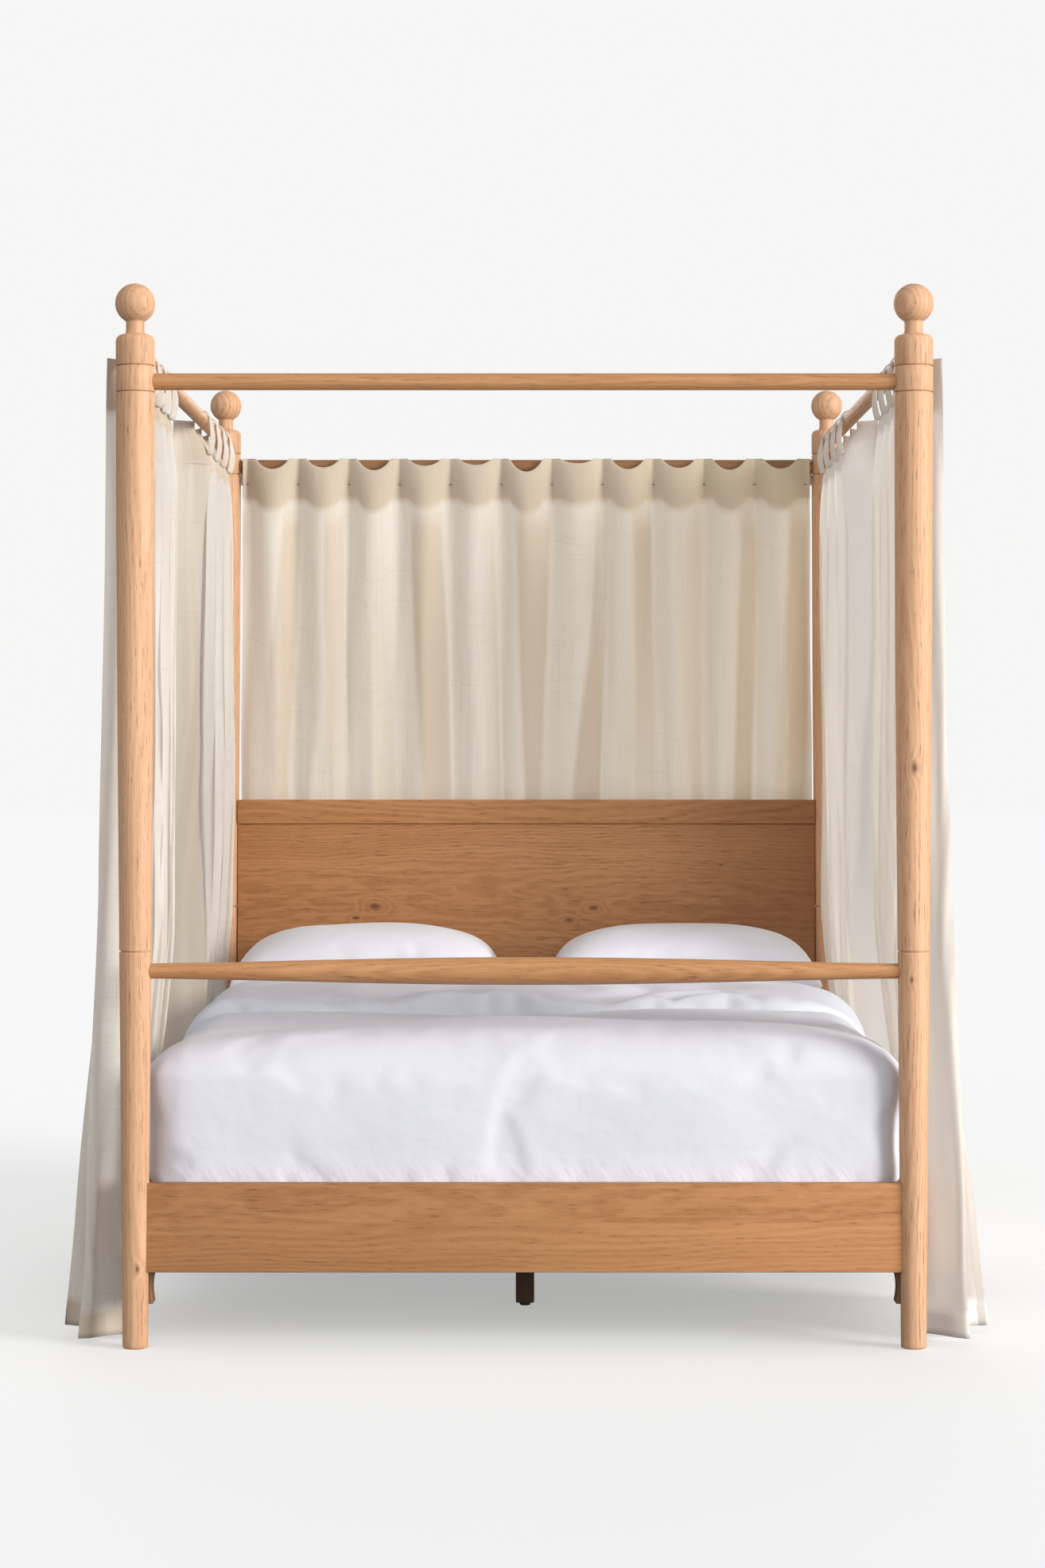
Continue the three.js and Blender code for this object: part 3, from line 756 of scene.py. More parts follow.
def post_radius(z):
    """The taper of a post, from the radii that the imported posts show."""
    swell = sizes().post_swell

    def growth(height):
        t = height / COLLAR_BOTTOM
        return t + swell * t * math.sin(math.pi * t)

    joint = growth(LOWER_POST_TOP)
    joint_radius = extent("lower_post_front_right").x / 2
    foot = (joint_radius - POST_TOP_RADIUS * joint) / (1 - joint)
    return foot + (POST_TOP_RADIUS - foot) * growth(z)


def grooved_top(radius, top):
    """The rounded top edge of a turned piece and the shadow line cut above it."""
    groove = sizes().joint_groove
    return [(radius, top - 0.0040), (radius - 0.0004, top - 0.0031), (radius - 0.0012, top - 0.0025),
            (radius - groove, top - 0.0023), (radius - groove, top), (0.0, top)]


def rounded_bottom(radius, bottom, ease):
    """The end face of a turned piece and the rounded edge round it."""
    return [(0.0, bottom), (radius - ease, bottom),
            (radius - ease * 0.3, bottom + ease * 0.3), (radius, bottom + ease)]


def turn_post(corner, x, y):
    """The lower and the upper length of a post, with one taper through both."""
    lower_bottom, lower_top = (c.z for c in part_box(f"lower_post_{corner}"))
    upper_bottom, upper_top = (c.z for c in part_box(f"upper_post_{corner}"))
    for name, bottom, top, ease in (
        (f"lower_post_{corner}", lower_bottom, lower_top, 0.004),
        (f"upper_post_{corner}", upper_bottom, upper_top, 0.001),
    ):
        body = [(post_radius(z), z) for z in np.linspace(bottom + 2 * ease, top - 0.006, 16)]
        profile = rounded_bottom(post_radius(bottom), bottom, ease) + body
        profile += grooved_top(post_radius(top), top)
        stands_for(turned(f"{name}_turned", profile, "z", (x, y, 0), post_oak()), "oak", name)


def turn_collar_and_finial(corner, x, y):
    """The plain collar on a post, and the cap and ball above it."""
    bottom, top = (c.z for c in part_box(f"corner_collar_{corner}"))
    radius = POST_TOP_RADIUS
    profile = rounded_bottom(radius, bottom, 0.001) + grooved_top(radius, top)
    collar = turned(f"corner_collar_{corner}_turned", profile, "z", (x, y, 0), post_oak())
    stands_for(collar, "oak", f"corner_collar_{corner}")

    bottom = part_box(f"ball_finial_{corner}")[0].z
    ball, neck, shoulder, cap_height = 0.0415, 0.0192, 0.014, 0.0497
    cap_top = bottom + cap_height
    centre = FINIAL_TOP - ball
    profile = rounded_bottom(radius, bottom, 0.001) + [(radius, cap_top - 0.01)]
    profile += arc((radius - shoulder, cap_top), shoulder, 0, 78, 9)
    # A hollow carries the shoulder in to the neck, and a tighter one carries the neck out to the ball.
    cove = 0.0115
    profile += arc((neck + cove, cap_top + shoulder + cove * 0.78), cove, 250, 180, 8)
    neck_top = centre - math.sqrt(ball ** 2 - (neck + 0.001) ** 2)
    profile += [(neck, neck_top - 0.006), (neck, neck_top - 0.002), (neck + 0.001, neck_top)]
    start = math.degrees(math.asin((neck_top - centre) / ball))
    profile += arc((0, centre), ball, start + 2, 84, 40)
    profile += [(ball * math.cos(math.radians(87)), FINIAL_TOP - 0.0001), (0.0, FINIAL_TOP)]
    finial = turned(f"ball_finial_{corner}_turned", profile, "z", (x, y, 0), finial_oak(), sharp=38)
    stands_for(finial, "oak", f"ball_finial_{corner}")


def turn_canopy_rails():
    """Round rails that run into the collars and caps."""
    tenon = 0.006
    across = POST_X - POST_TOP_RADIUS + tenon
    profile = [(0, -across)] + [(RAIL_RADIUS, x) for x in np.linspace(-across, across, 24)]
    profile.append((0, across))
    # The rear rail's colours are scaled down to 0.55 as painted shade, for the shade it hangs in.
    for end, y, depth in (("front", -POST_Y, 1.0), ("rear", POST_Y, 0.55)):
        finish = rail_oak(f"oak_{end}_rail", "x", (END_RAIL_Z, POST_Y), (0.02, 0.06), depth)
        rail = turned(f"canopy_rail_{end}_turned", profile, "x", (0, y, END_RAIL_Z), finish, 64)
        stands_for(rail, "oak", f"canopy_rail_{end}")
    lengthwise = POST_Y - POST_TOP_RADIUS + tenon
    profile = [(0, -lengthwise)] + [(RAIL_RADIUS, y) for y in np.linspace(-lengthwise, lengthwise, 24)]
    profile.append((0, lengthwise))
    for side in SIDES:
        finish = rail_oak("oak_side_rails_round", "y", (SIDE_RAIL_Z, POST_X), (0.03, 0.05))
        centre = (OUT[side] * POST_X, 0, SIDE_RAIL_Z)
        rail = turned(f"canopy_rail_{side}_turned", profile, "y", centre, finish, 64)
        stands_for(rail, "oak", f"canopy_rail_{side}")


def turn_foot_rail():
    """A long spindle that swells towards its middle."""
    half = POST_X - post_radius(FOOT_RAIL_Z) + 0.006
    end_radius = sizes().foot_rail_end
    profile = [(0, -half)]
    for x in np.linspace(-half, half, 72):
        fullness = max(math.cos(math.pi / 2 * x / POST_X), 0) ** 1.5
        profile.append((end_radius + (FOOT_RAIL_RADIUS - end_radius) * fullness, x))
    finish = rail_oak("oak_foot_rail", "x", (0.0, 0.0), (FOOT_RAIL_Z + 0.02, -POST_Y + 0.12))
    rail = turned("foot_rail_turned", profile + [(0, half)], "x", (0, -POST_Y, FOOT_RAIL_Z), finish, 64)
    stands_for(rail, "oak", "foot_rail")


def plane_boards():
    """The footboard, the three pieces of the headboard and the two side rails."""
    reach = POST_X - 0.02
    foot = board_oak("oak_footboard", -POST_Y + 0.16, 0.31, plank_seams=(0.2596,),
                     deepens=FOOTBOARD_PAINTED_SHADE)
    plane_board("footboard", foot, reach_x=reach)

    head = {
        "headboard_bottom_rail": board_oak(
            "oak_head_bottom_rail", POST_Y + 0.2, 0.20, deepens=HEADBOARD_PAINTED_SHADE),
        "headboard_panel": board_oak(
            "oak_head_panel", POST_Y + 0.15, 0.83, plank_seams=(0.545,),
            knots=((-0.405, 0.818, 0.012), (0.181, 0.815, 0.009), (0.115, 0.782, 0.008),
                   (-0.455, 0.788, 0.006), (0.52, 0.93, 0.005)), deepens=HEADBOARD_PAINTED_SHADE),
        "headboard_top_rail": board_oak(
            "oak_head_top_rail", POST_Y + 0.2, 1.02, deepens=HEADBOARD_PAINTED_SHADE),
    }
    for node, finish in head.items():
        plane_board(node, finish, reach_x=POST_X - POST_TOP_RADIUS + 0.008)

    for side in SIDES:
        finish = board_oak(f"oak_side_rail_{side}", OUT[side] * POST_X * 0.8, 0.30, grain="y")
        plane_board(f"side_rail_{side}", finish, reach_y=POST_Y - 0.02)


def plane_board(node, finish, reach_x=None, reach_y=None):
    """A board in its packed place, run on along x or y into the posts."""
    low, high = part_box(node)
    if reach_x:
        low.x, high.x = -reach_x, reach_x
    if reach_y:
        low.y, high.y = -reach_y, reach_y
    stands_for(eased_board(f"{node}_planed", low, high, finish), "oak", node)


# ---------------------------------------------------------------- base


def fit_base():
    """Battens, slats on webbing, the centre beam, its legs and the corner brackets."""
    stained = softwood("softwood_beam", colours().base_wood, "y")
    for node in ("slat_cleat_left", "slat_cleat_right", "center_beam"):
        low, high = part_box(node)
        stands_for(eased_board(f"{node}_sawn", low, high, stained, 0.0025), "base_wood", node)
    lay_slats()
    for end in ENDS:
        stand_leg(f"center_leg_{end}", f"center_leg_glide_{end}")
    for corner in CORNERS:
        scooped_bracket(corner, softwood("softwood_brackets", colours().bracket, "z"))


def lay_slats():
    """Twelve slats, and the two straps that are stapled to each of them."""
    low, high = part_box("slat_mat")
    count, width, strap_x, strap_width = 12, 0.070, 0.480, 0.025
    slat_top = high.z - 0.0015
    pitch = (high.y - low.y - width) / (count - 1)
    middles = [low.y + width / 2 + i * pitch for i in range(count)]
    slats = [box_mesh((low.x, y - width / 2, low.z), (high.x, y + width / 2, slat_top), 0.004)
             for y in middles]
    raw = softwood("softwood_slats", colours().slat_wood, "x")
    stands_for(joined("slats_sawn", slats, raw), "base_wood", "slat_mat")
    strap_finish = webbing("webbing_slat_straps", colours().ticking)
    steel = moulded_plastic("steel_staples", (0.35, 0.35, 0.36))
    for side in SIDES:
        x = OUT[side] * strap_x
        strap = box_mesh((x - strap_width / 2, low.y + width / 4, slat_top),
                         (x + strap_width / 2, high.y - width / 4, high.z), 0.0006)
        stands_for(joined(f"slat_strap_{side}", [strap], strap_finish), "base_wood", "slat_mat")
        staples = [box_mesh((x - 0.006, y - 0.0008, high.z - 0.0004),
                            (x + 0.006, y + 0.0008, high.z + 0.0008), 0.0003) for y in middles]
        stands_for(joined(f"strap_staples_{side}", staples, steel), "base_wood")


def stand_leg(leg, glide):
    """A square leg under the centre beam, on its moulded glide."""
    low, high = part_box(leg)
    stained = softwood("softwood_legs", colours().base_wood, "z")
    stands_for(eased_board(f"{leg}_sawn", low, high, stained, 0.003), "base_wood", leg)
    radius, height = extent(glide).x / 2, extent(glide).z
    profile = [(0, 0), (radius * 0.78, 0), (radius * 0.95, 0.0012), (radius, 0.003),
               (radius, height - 0.0008), (radius - 0.0008, height), (0, height)]
    foot = (middle(glide).x, middle(glide).y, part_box(glide)[0].z)
    moulded = moulded_plastic("moulded_glide", colours().glide)
    stands_for(turned(f"{glide}_moulded", profile, "z", foot, moulded, 48), "glide", glide)


def scooped_bracket(corner, finish):
    """A block under a side rail, with a hollowed face towards the bed's middle."""
    low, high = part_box(f"corner_bracket_{corner}")
    out = 1.0 if low.x > 0 else -1.0
    inner, outer = (low.x, high.x) if out > 0 else (high.x, low.x)
    y_post = math.copysign(POST_Y - post_radius(high.z) + 0.001, low.y)
    y_far = high.y if low.y < 0 else low.y
    outline = [(outer, high.z), (outer, low.z)]
    for t in np.linspace(0, 1, 11):
        hollow = 0.0025 * (1 - t) + 0.0048 * math.sin(math.pi * t)
        outline.append((inner + out * hollow, low.z + (high.z - low.z) * t))
    count = len(outline)
    points = [(x, y, z) for y in (y_post, y_far) for x, z in outline]
    faces = [tuple(range(count)), tuple(range(2 * count - 1, count - 1, -1))]
    faces += [(i, count + i, count + (i + 1) % count, (i + 1) % count) for i in range(count)]
    bracket = new_piece(f"corner_bracket_{corner}_sawn", points, faces, finish, 40)
    set_facing_out(bracket)
    ease = bracket.modifiers.new("Ease", "BEVEL")
    ease.width, ease.segments, ease.limit_method = 0.0012, 2, "ANGLE"
    apply_modifiers(bracket)
    return stands_for(bracket, "base_wood", f"corner_bracket_{corner}")


# ---------------------------------------------------------------- bedding


def lattice_block(counts):
    """Points from -1 to 1 on the skin of a cube, counted along each edge, and its quads facing out."""
    index, points, faces = {}, [], []

    def point(i, j, k):
        key = (i, j, k)
        if key not in index:
            index[key] = len(points)
            points.append([2 * c / n - 1 for c, n in zip(key, counts)])
        return index[key]

    nx, ny, nz = counts
    for i in range(nx):
        for j in range(ny):
            faces.append((point(i, j, nz), point(i + 1, j, nz), point(i + 1, j + 1, nz), point(i, j + 1, nz)))
            faces.append((point(i, j, 0), point(i, j + 1, 0), point(i + 1, j + 1, 0), point(i + 1, j, 0)))
    for i in range(nx):
        for k in range(nz):
            faces.append((point(i, 0, k), point(i + 1, 0, k), point(i + 1, 0, k + 1), point(i, 0, k + 1)))
            faces.append((point(i, ny, k), point(i, ny, k + 1), point(i + 1, ny, k + 1), point(i + 1, ny, k)))
    for j in range(ny):
        for k in range(nz):
            faces.append((point(0, j, k), point(0, j, k + 1), point(0, j + 1, k + 1), point(0, j + 1, k)))
            faces.append((point(nx, j, k), point(nx, j + 1, k), point(nx, j + 1, k + 1), point(nx, j, k + 1)))
    return np.array(points), faces


def rounded_block(low, high, radius, step):
    """A block with every edge and corner rounded, in quads about step across."""
    low, high = np.array(low), np.array(high)
    counts = [max(4, int(round(size / step))) for size in high - low]
    unit, faces = lattice_block(counts)
    centre, half = (low + high) / 2, (high - low) / 2
    points = unit * half
    core = np.clip(points, -(half - radius), half - radius)
    away = points - core
    length = np.linalg.norm(away, axis=1, keepdims=True)
    return core + away / np.maximum(length, 1e-9) * radius + centre, faces


def puff(piece, held, pressure, slack, cap, frames, stiffness=12.0, bending=0.6):
    """Swells a cloth mesh by simulation.

    held says how firmly each point stays, and cap how far one may move.
    """
    start = coordinates(piece)
    group = piece.vertex_groups.new(name="held")
    for i in np.nonzero(held > 0)[0]:
        group.add([int(i)], float(held[i]), "REPLACE")
    modifier = piece.modifiers.new("Puff", "CLOTH")
    cloth = modifier.settings
    cloth.quality = 6
    cloth.mass = 0.25
    cloth.tension_stiffness = stiffness
    cloth.compression_stiffness = stiffness
    cloth.shear_stiffness = stiffness / 3
    cloth.bending_stiffness = bending
    cloth.vertex_group_mass = group.name
    cloth.pin_stiffness = 1.0
    cloth.use_pressure = True
    cloth.uniform_pressure_force = pressure
    cloth.shrink_min = -slack
    cloth.effector_weights.gravity = 0.0
    modifier.point_cache.frame_start = 1
    modifier.point_cache.frame_end = frames
    scene = bpy.context.scene
    for number in range(1, frames + 1):
        scene.frame_set(number)
    apply_modifiers(piece)
    scene.frame_set(1)
    moved = coordinates(piece) - start
    distance = np.linalg.norm(moved, axis=1, keepdims=True)
    limited = moved * (cap * np.tanh(distance / cap) / np.maximum(distance, 1e-9))
    set_coordinates(piece, start + limited)
    piece.vertex_groups.clear()


def subdivided(piece):
    modifier = piece.modifiers.new("Fine", "SUBSURF")
    modifier.levels = modifier.render_levels = 1
    apply_modifiers(piece)


def make_mattress():
    """The ticking-covered mattress with taped edges, and a fitted sheet stretched over it."""
    low, high = MATTRESS
    margin = 0.004
    points, faces = rounded_block(
        low + Vector((margin,) * 3), high - Vector((margin, margin, 0.001)), 0.045, 0.03)
    ticking = quilted_ticking("ticking_mattress", colours().ticking)
    piece = new_piece("mattress_ticking", points, faces, ticking)
    subdivided(piece)
    stands_for(piece, "ticking", "mattress")

    tape = 0.0045
    corner = 0.055
    for name, z in (("bottom", low.z + 0.022), ("top", high.z - 0.022)):
        path = []
        for cx, cy, start in ((1, -1, -90), (1, 1, 0), (-1, 1, 90), (-1, -1, 180)):
            centre_x = cx * (high.x - corner - margin * 0.4)
            centre_y = cy * (high.y - corner - margin * 0.4)
            for turn in np.radians(np.linspace(start, start + 90, 9)):
                path.append((centre_x + corner * math.cos(turn), centre_y + corner * math.sin(turn), z))
        woven = webbing("webbing_mattress_tape", colours().ticking)
        stands_for(closed_tube(f"mattress_tape_{name}", path, tape, woven), "ticking")

    over = 0.0014
    sheet_low = (low.x + margin - over, low.y + margin - over, high.z - 0.16)
    sheet_high = (high.x - margin + over, high.y - margin + over, high.z + over)
    points, faces = rounded_block(sheet_low, sheet_high, 0.046, 0.025)
    skirt = high.z - 0.105
    faces = [face for face in faces if all(points[i][2] > skirt for i in face)]
    wrinkle = Drift(31, waves=9, along=3.0, up=3.0)
    reach = smooth_step(points[:, 1], 0.45, 0.62) * (points[:, 2] > high.z - 0.03)
    points[:, 2] += 0.0012 * wrinkle(points[:, 0] * 1.5, points[:, 1] * 1.5) * reach
    sheet = new_piece("fitted_sheet", points, faces, percale("percale_fitted_sheet", colours().cotton, 0.6))
    clean_loose(sheet)
    stands_for(sheet, "cotton")


def duvet_height(x, y):
    """Height of the duvet's top above the floor: a roll at the foot, and a dip behind it."""
    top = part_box("duvet")[1].z
    roll = np.exp(-(((y + 0.86) / 0.17) ** 2))
    crown = 1 - np.abs(x / 0.79) ** np.where(x > 0, 6.0, 3.0)
    lumps = Drift(12, waves=8, along=1.1, up=1.3)(x, y)
    return top - 0.040 + (0.036 * roll + 0.012) * crown + 0.006 * lumps * crown


def spread_duvet():
    """The duvet over the mattress, its foot and sides tucked inside the boards, its head turned back."""
    low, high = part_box("duvet")
    finish = percale("percale_duvet", colours().cotton, tucked_at=BOARD_TOP)
    # The block runs on past the open bottom and head end, where it is cut off below.
    spare = 0.09
    points, faces = rounded_block(
        (low.x, low.y, low.z - spare), (high.x, high.y + spare, high.z), 0.080, 0.016)
    upper = smooth_step(points[:, 2], high.z - 0.12, high.z - 0.02)
    points[:, 2] += upper * (duvet_height(points[:, 0], points[:, 1]) - high.z + 0.008)
    # The sides belly a little between the shoulder and the board that they are tucked behind.
    belly = np.sin(np.pi * np.clip((points[:, 2] - low.z) / 0.30, 0, 1))
    bulge = Drift(5, waves=8, along=1.5, up=1.0)
    side_face = np.abs(points[:, 0]) > high.x - 0.05
    shoulder = np.exp(-(((points[:, 2] - 0.555) / 0.075) ** 2))
    points[side_face, 0] += (np.sign(points[:, 0]) * 0.013 * shoulder)[side_face]
    foot_face = points[:, 1] < low.y + 0.05
    gathered = 0.004 + 0.004 * bulge(points[:, 0], points[:, 2])
    points[foot_face, 1] -= (belly * gathered)[foot_face]
    keep = (points[:, 2] > low.z) & (points[:, 1] < high.y)
    faces = [face for face in faces if all(keep[i] for i in face)]
    piece = new_piece("duvet_cover", points, faces, finish)
    clean_loose(piece)
    place = coordinates(piece)
    held = 1 - smooth_step(place[:, 2], low.z + 0.012, low.z + 0.05)
    held = np.maximum(held, smooth_step(place[:, 1], high.y - 0.05, high.y - 0.01))
    puff(piece, held, pressure=1.1, slack=sizes().duvet_slack, cap=0.0035, frames=22, bending=4.0)
    shell = piece.modifiers.new("Filling", "SOLIDIFY")
    shell.thickness = 0.012
    shell.offset = -1.0
    apply_modifiers(piece)
    subdivided(piece)
    stands_for(piece, "cotton", "duvet")

    turn_back(high, finish)


def turn_back(high, finish):
    """The head of the duvet folded back over itself: a soft slab over its top and shoulders."""
    length = sizes().duvet_turnback
    head, foot = high.y + 0.012, high.y - length
    half, shoulder, thickness = 0.775, 0.10, 0.034
    top = high.z - 0.030
    drop = 0.12
    across, along = 120, 56
    straight = half - shoulder
    curve = shoulder * math.pi / 2
    reach = straight + curve + drop
    uneven = Drift(44, waves=6, along=1.2, up=1.0)
    lumps = Drift(45, waves=8, along=1.6, up=1.6)
    creases = Drift(46, waves=8, along=4.0, up=2.0)

    def section(t):
        """A place on the underlying duvet and the direction out of it, t metres across the cloth."""
        distance, sign = abs(t), (1 if t >= 0 else -1)
        if distance < straight:
            return t, top + 0.010 * (1 - (distance / half) ** 2), 0.0, 1.0
        if distance < straight + curve:
            turn = (distance - straight) / shoulder
            return (sign * (straight + shoulder * math.sin(turn)), top - shoulder * (1 - math.cos(turn)),
                    sign * math.sin(turn), math.cos(turn))
        return sign * half, top - shoulder - (distance - straight - curve), float(sign), 0.0

    def rounded_edge(share, least):
        """How full the slab is where share of the way in from its edge is passed."""
        return least + (1 - least) * math.sqrt(1 - (1 - share) ** 2)

    tops, bottoms = [], []
    for i in range(along + 1):
        for j in range(across + 1):
            w = 2 * j / across - 1
            t = reach * math.copysign(abs(w) ** 0.96, w)
            x, z, nx, nz = section(t)
            edge = foot + 0.022 * float(uneven(x, 0.3)) + 0.05 * (abs(w) ** 4)
            share = i / along
            y = edge + (head - edge) * share
            near = min(1.0, min(share, 1 - share) / 0.045)
            side_near = min(1.0, (1 - abs(w)) / 0.03)
            body = thickness * rounded_edge(near, 0.12) * rounded_edge(side_near, 0.15)
            lump = 1 + 0.16 * float(lumps(x, y)) + 0.05 * float(creases(x, y))
            settle = 0.010 * (1 - near)
            tops.append((x + nx * body * lump, y, z + nz * body * lump - settle))
            bottoms.append((x - nx * 0.004, y, z - nz * 0.004 - settle))
    rows, columns = along + 1, across + 1
    count = rows * columns
    faces = grid_faces(rows, columns)
    faces += [tuple(count + i for i in reversed(face)) for face in grid_faces(rows, columns)]
    rim = list(range(columns)) + [i * columns + columns - 1 for i in range(1, rows)]
    rim += [(rows - 1) * columns + j for j in range(columns - 2, -1, -1)]
    rim += [i * columns for i in range(rows - 2, 0, -1)]
    for a, b in zip(rim, rim[1:] + rim[:1]):
        faces.append((a, count + a, count + b, b))
    flap = new_piece("duvet_turned_back", tops + bottoms, faces, finish)
    set_facing_out(flap)
    place = coordinates(flap)
    held = np.zeros(len(place))
    held[count:] = 1.0
    puff(flap, held, pressure=0.5, slack=0.05, cap=0.012, frames=14)
    subdivided(flap)
    stands_for(flap, "cotton", "duvet")


def fill_pillows():
    """Two pillows in plain cases, full in the middle and thin at the corners."""
    finish = percale("percale_pillow", colours().pillow, 0.6)
    steps = 44
    seam_height = 0.062
    for side, seed in (("left", 3), ("right", 8)):
        low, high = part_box(f"pillow_{side}")
        centre, half = (low + high) / 2, (high - low) / 2
        seam = low.z + seam_height
        lumps = Drift(seed, waves=7, along=0.8, up=0.9)
        tops, bottoms = [], []
        for i in range(steps + 1):
            for j in range(steps + 1):
                u, v = 2 * j / steps - 1, 2 * i / steps - 1
                u, v = math.copysign(abs(u) ** 0.85, u), math.copysign(abs(v) ** 0.85, v)
                x = half.x * u * (0.955 + 0.045 * v * v)
                y = half.y * v * (0.94 + 0.06 * u * u)
                fullness = (max(0.0, 1 - abs(u) ** 3.4) * max(0.0, 1 - abs(v) ** 2.4)) ** 0.44
                bump = 1 + 0.018 * float(lumps(u, v))
                rise = (half.z * 2 - seam_height) * fullness * bump
                drop = 0.061 * min(1.0, fullness * 1.35)
                tops.append((centre.x + x, centre.y + y, seam + rise))
                bottoms.append((centre.x + x, centre.y + y, seam - drop))
        columns = steps + 1
        count = columns * columns
        lower_index = {}
        points = list(tops)
        for i in range(count):
            if i // columns in (0, steps) or i % columns in (0, steps):
                lower_index[i] = i
            else:
                lower_index[i] = len(points)
                points.append(bottoms[i])
        faces = grid_faces(columns, columns)
        faces += [tuple(lower_index[i] for i in reversed(face)) for face in grid_faces(columns, columns)]
        pillow = new_piece(f"pillow_case_{side}", points, faces, finish)
        held = (coordinates(pillow)[:, 2] < low.z + 0.02).astype(float)
        puff(pillow, held, pressure=1.6, slack=0.03, cap=0.010, frames=18)
        lifted = coordinates(pillow)
        lifted[:, 2] = np.maximum(lifted[:, 2], low.z + 0.0005)
        set_coordinates(pillow, lifted)
        subdivided(pillow)
        stands_for(pillow, "cotton", f"pillow_{side}")


# ---------------------------------------------------------------- curtains


def write_cloth(piece, cloth):
    """Stores each point's place on the flat cloth, which the linen's weave follows."""
    attribute = piece.data.attributes.new("cloth", "FLOAT_VECTOR", "POINT")
    attribute.data.foreach_set("vector", np.array(cloth, np.float32).ravel())


def cloth_mesh(name, surface, across, rows, finish, overlap=None):
    """A sheet from surface(s, height) -> points, with doubled header and hem.

    rows holds (height, set-in, doubled), where height(s) gives a row's height along the cloth, and
    a row of the doubled cloth lies set-in behind the front one.
    The last function, of s and height, gives painted shade within the folds: how much of the doubled colour
    lies on the single cloth there.
    """
    points = np.zeros((len(rows), len(across), 3))
    cloth = np.zeros((len(rows), len(across), 3))
    nudge = 1e-3
    for i, (height, inset, doubled) in enumerate(rows):
        level = height(across)
        here = surface(across, level)
        if inset:
            slope_s = surface(across + nudge, level) - here
            slope_z = surface(across, level + nudge) - here
            out = np.cross(slope_s, slope_z)
            here = here + inset * out / np.linalg.norm(out, axis=1, keepdims=True)
        points[i] = here
        cloth[i, :, 2] = doubled
        # Painted shade from the folds raises the doubled share of the cloth.
        if overlap:
            cloth[i, :, 2] = np.maximum(doubled, overlap(across, level))
    middle_row = len(rows) // 2
    steps = np.linalg.norm(np.diff(points[middle_row], axis=0), axis=1)
    cloth[:, 1:, 0] = np.cumsum(steps)
    cloth[1:, :, 1] = np.cumsum(np.linalg.norm(np.diff(points, axis=0), axis=2).mean(axis=1))[:, None]
    piece = new_piece(name, points.reshape(-1, 3), grid_faces(len(rows), len(across)), finish)
    write_cloth(piece, cloth)
    return piece, cloth[0, -1, 0], cloth[-1, 0, 1]


def curtain_rows(bottom, top, header, hem, body_rows, inset, facing):
    """Rows from the top of the hem's inside, round the foot and up the cloth, then over the header.

    bottom(s) and top(s) are the heights of the two edges. The last rows go down the header's inside.
    """
    steps = 9

    def above(edge, extra):
        return lambda s: edge(s) + extra

    def between(share):
        return lambda s: hem_top(s) + (header_bottom(s) - hem_top(s)) * share

    hem_top, header_bottom = above(bottom, hem), above(top, -header)
    rows = [(above(bottom, hem * (1 - k / 3)), facing * inset, 1.0) for k in range(4)]
    rows += [(above(bottom, hem * k / 3), 0.0, 1.0) for k in range(4)]
    rows += [(between(k / body_rows), 0.0, 0.0) for k in range(1, body_rows)]
    rows += [(above(top, -header * (1 - k / steps)), 0.0, 1.0) for k in range(steps + 1)]
    rows.append((above(top, 0.0012), facing * inset / 2, 1.0))
    rows += [(above(top, -header * k / steps), facing * inset, 1.0) for k in range(steps + 1)]
    return rows


# A side curtain's bends from the floor up: how far its inner and outer bends lie from the middle.
SIDE_FALL = {
    "height": [0.0, 0.12, 0.20, 0.345, 0.62, 0.812, 1.25, 1.90, 1.955, 1.985, 2.03, 2.045, 2.08],
    "inner": [0.800, 0.812, 0.832, 0.832, 0.800, 0.786, 0.780, 0.780, 0.784, 0.793, 0.8235, 0.8265, 0.8265],
    "outer": [0.957, 0.940, 0.932, 0.924, 0.908, 0.897, 0.878, 0.872, 0.872, 0.871, 0.870, 0.869, 0.868],
}
# How far the inner bends stand in from their usual line, at the post and at the leading edge.
INNER_SHIFT = {"front": (-0.006, -0.009), "rear": (-0.008, 0.014)}
# How far each outer bend flares at the floor.
LOBES = (-0.022, 0.016, 0.0, 0.014, -0.012)


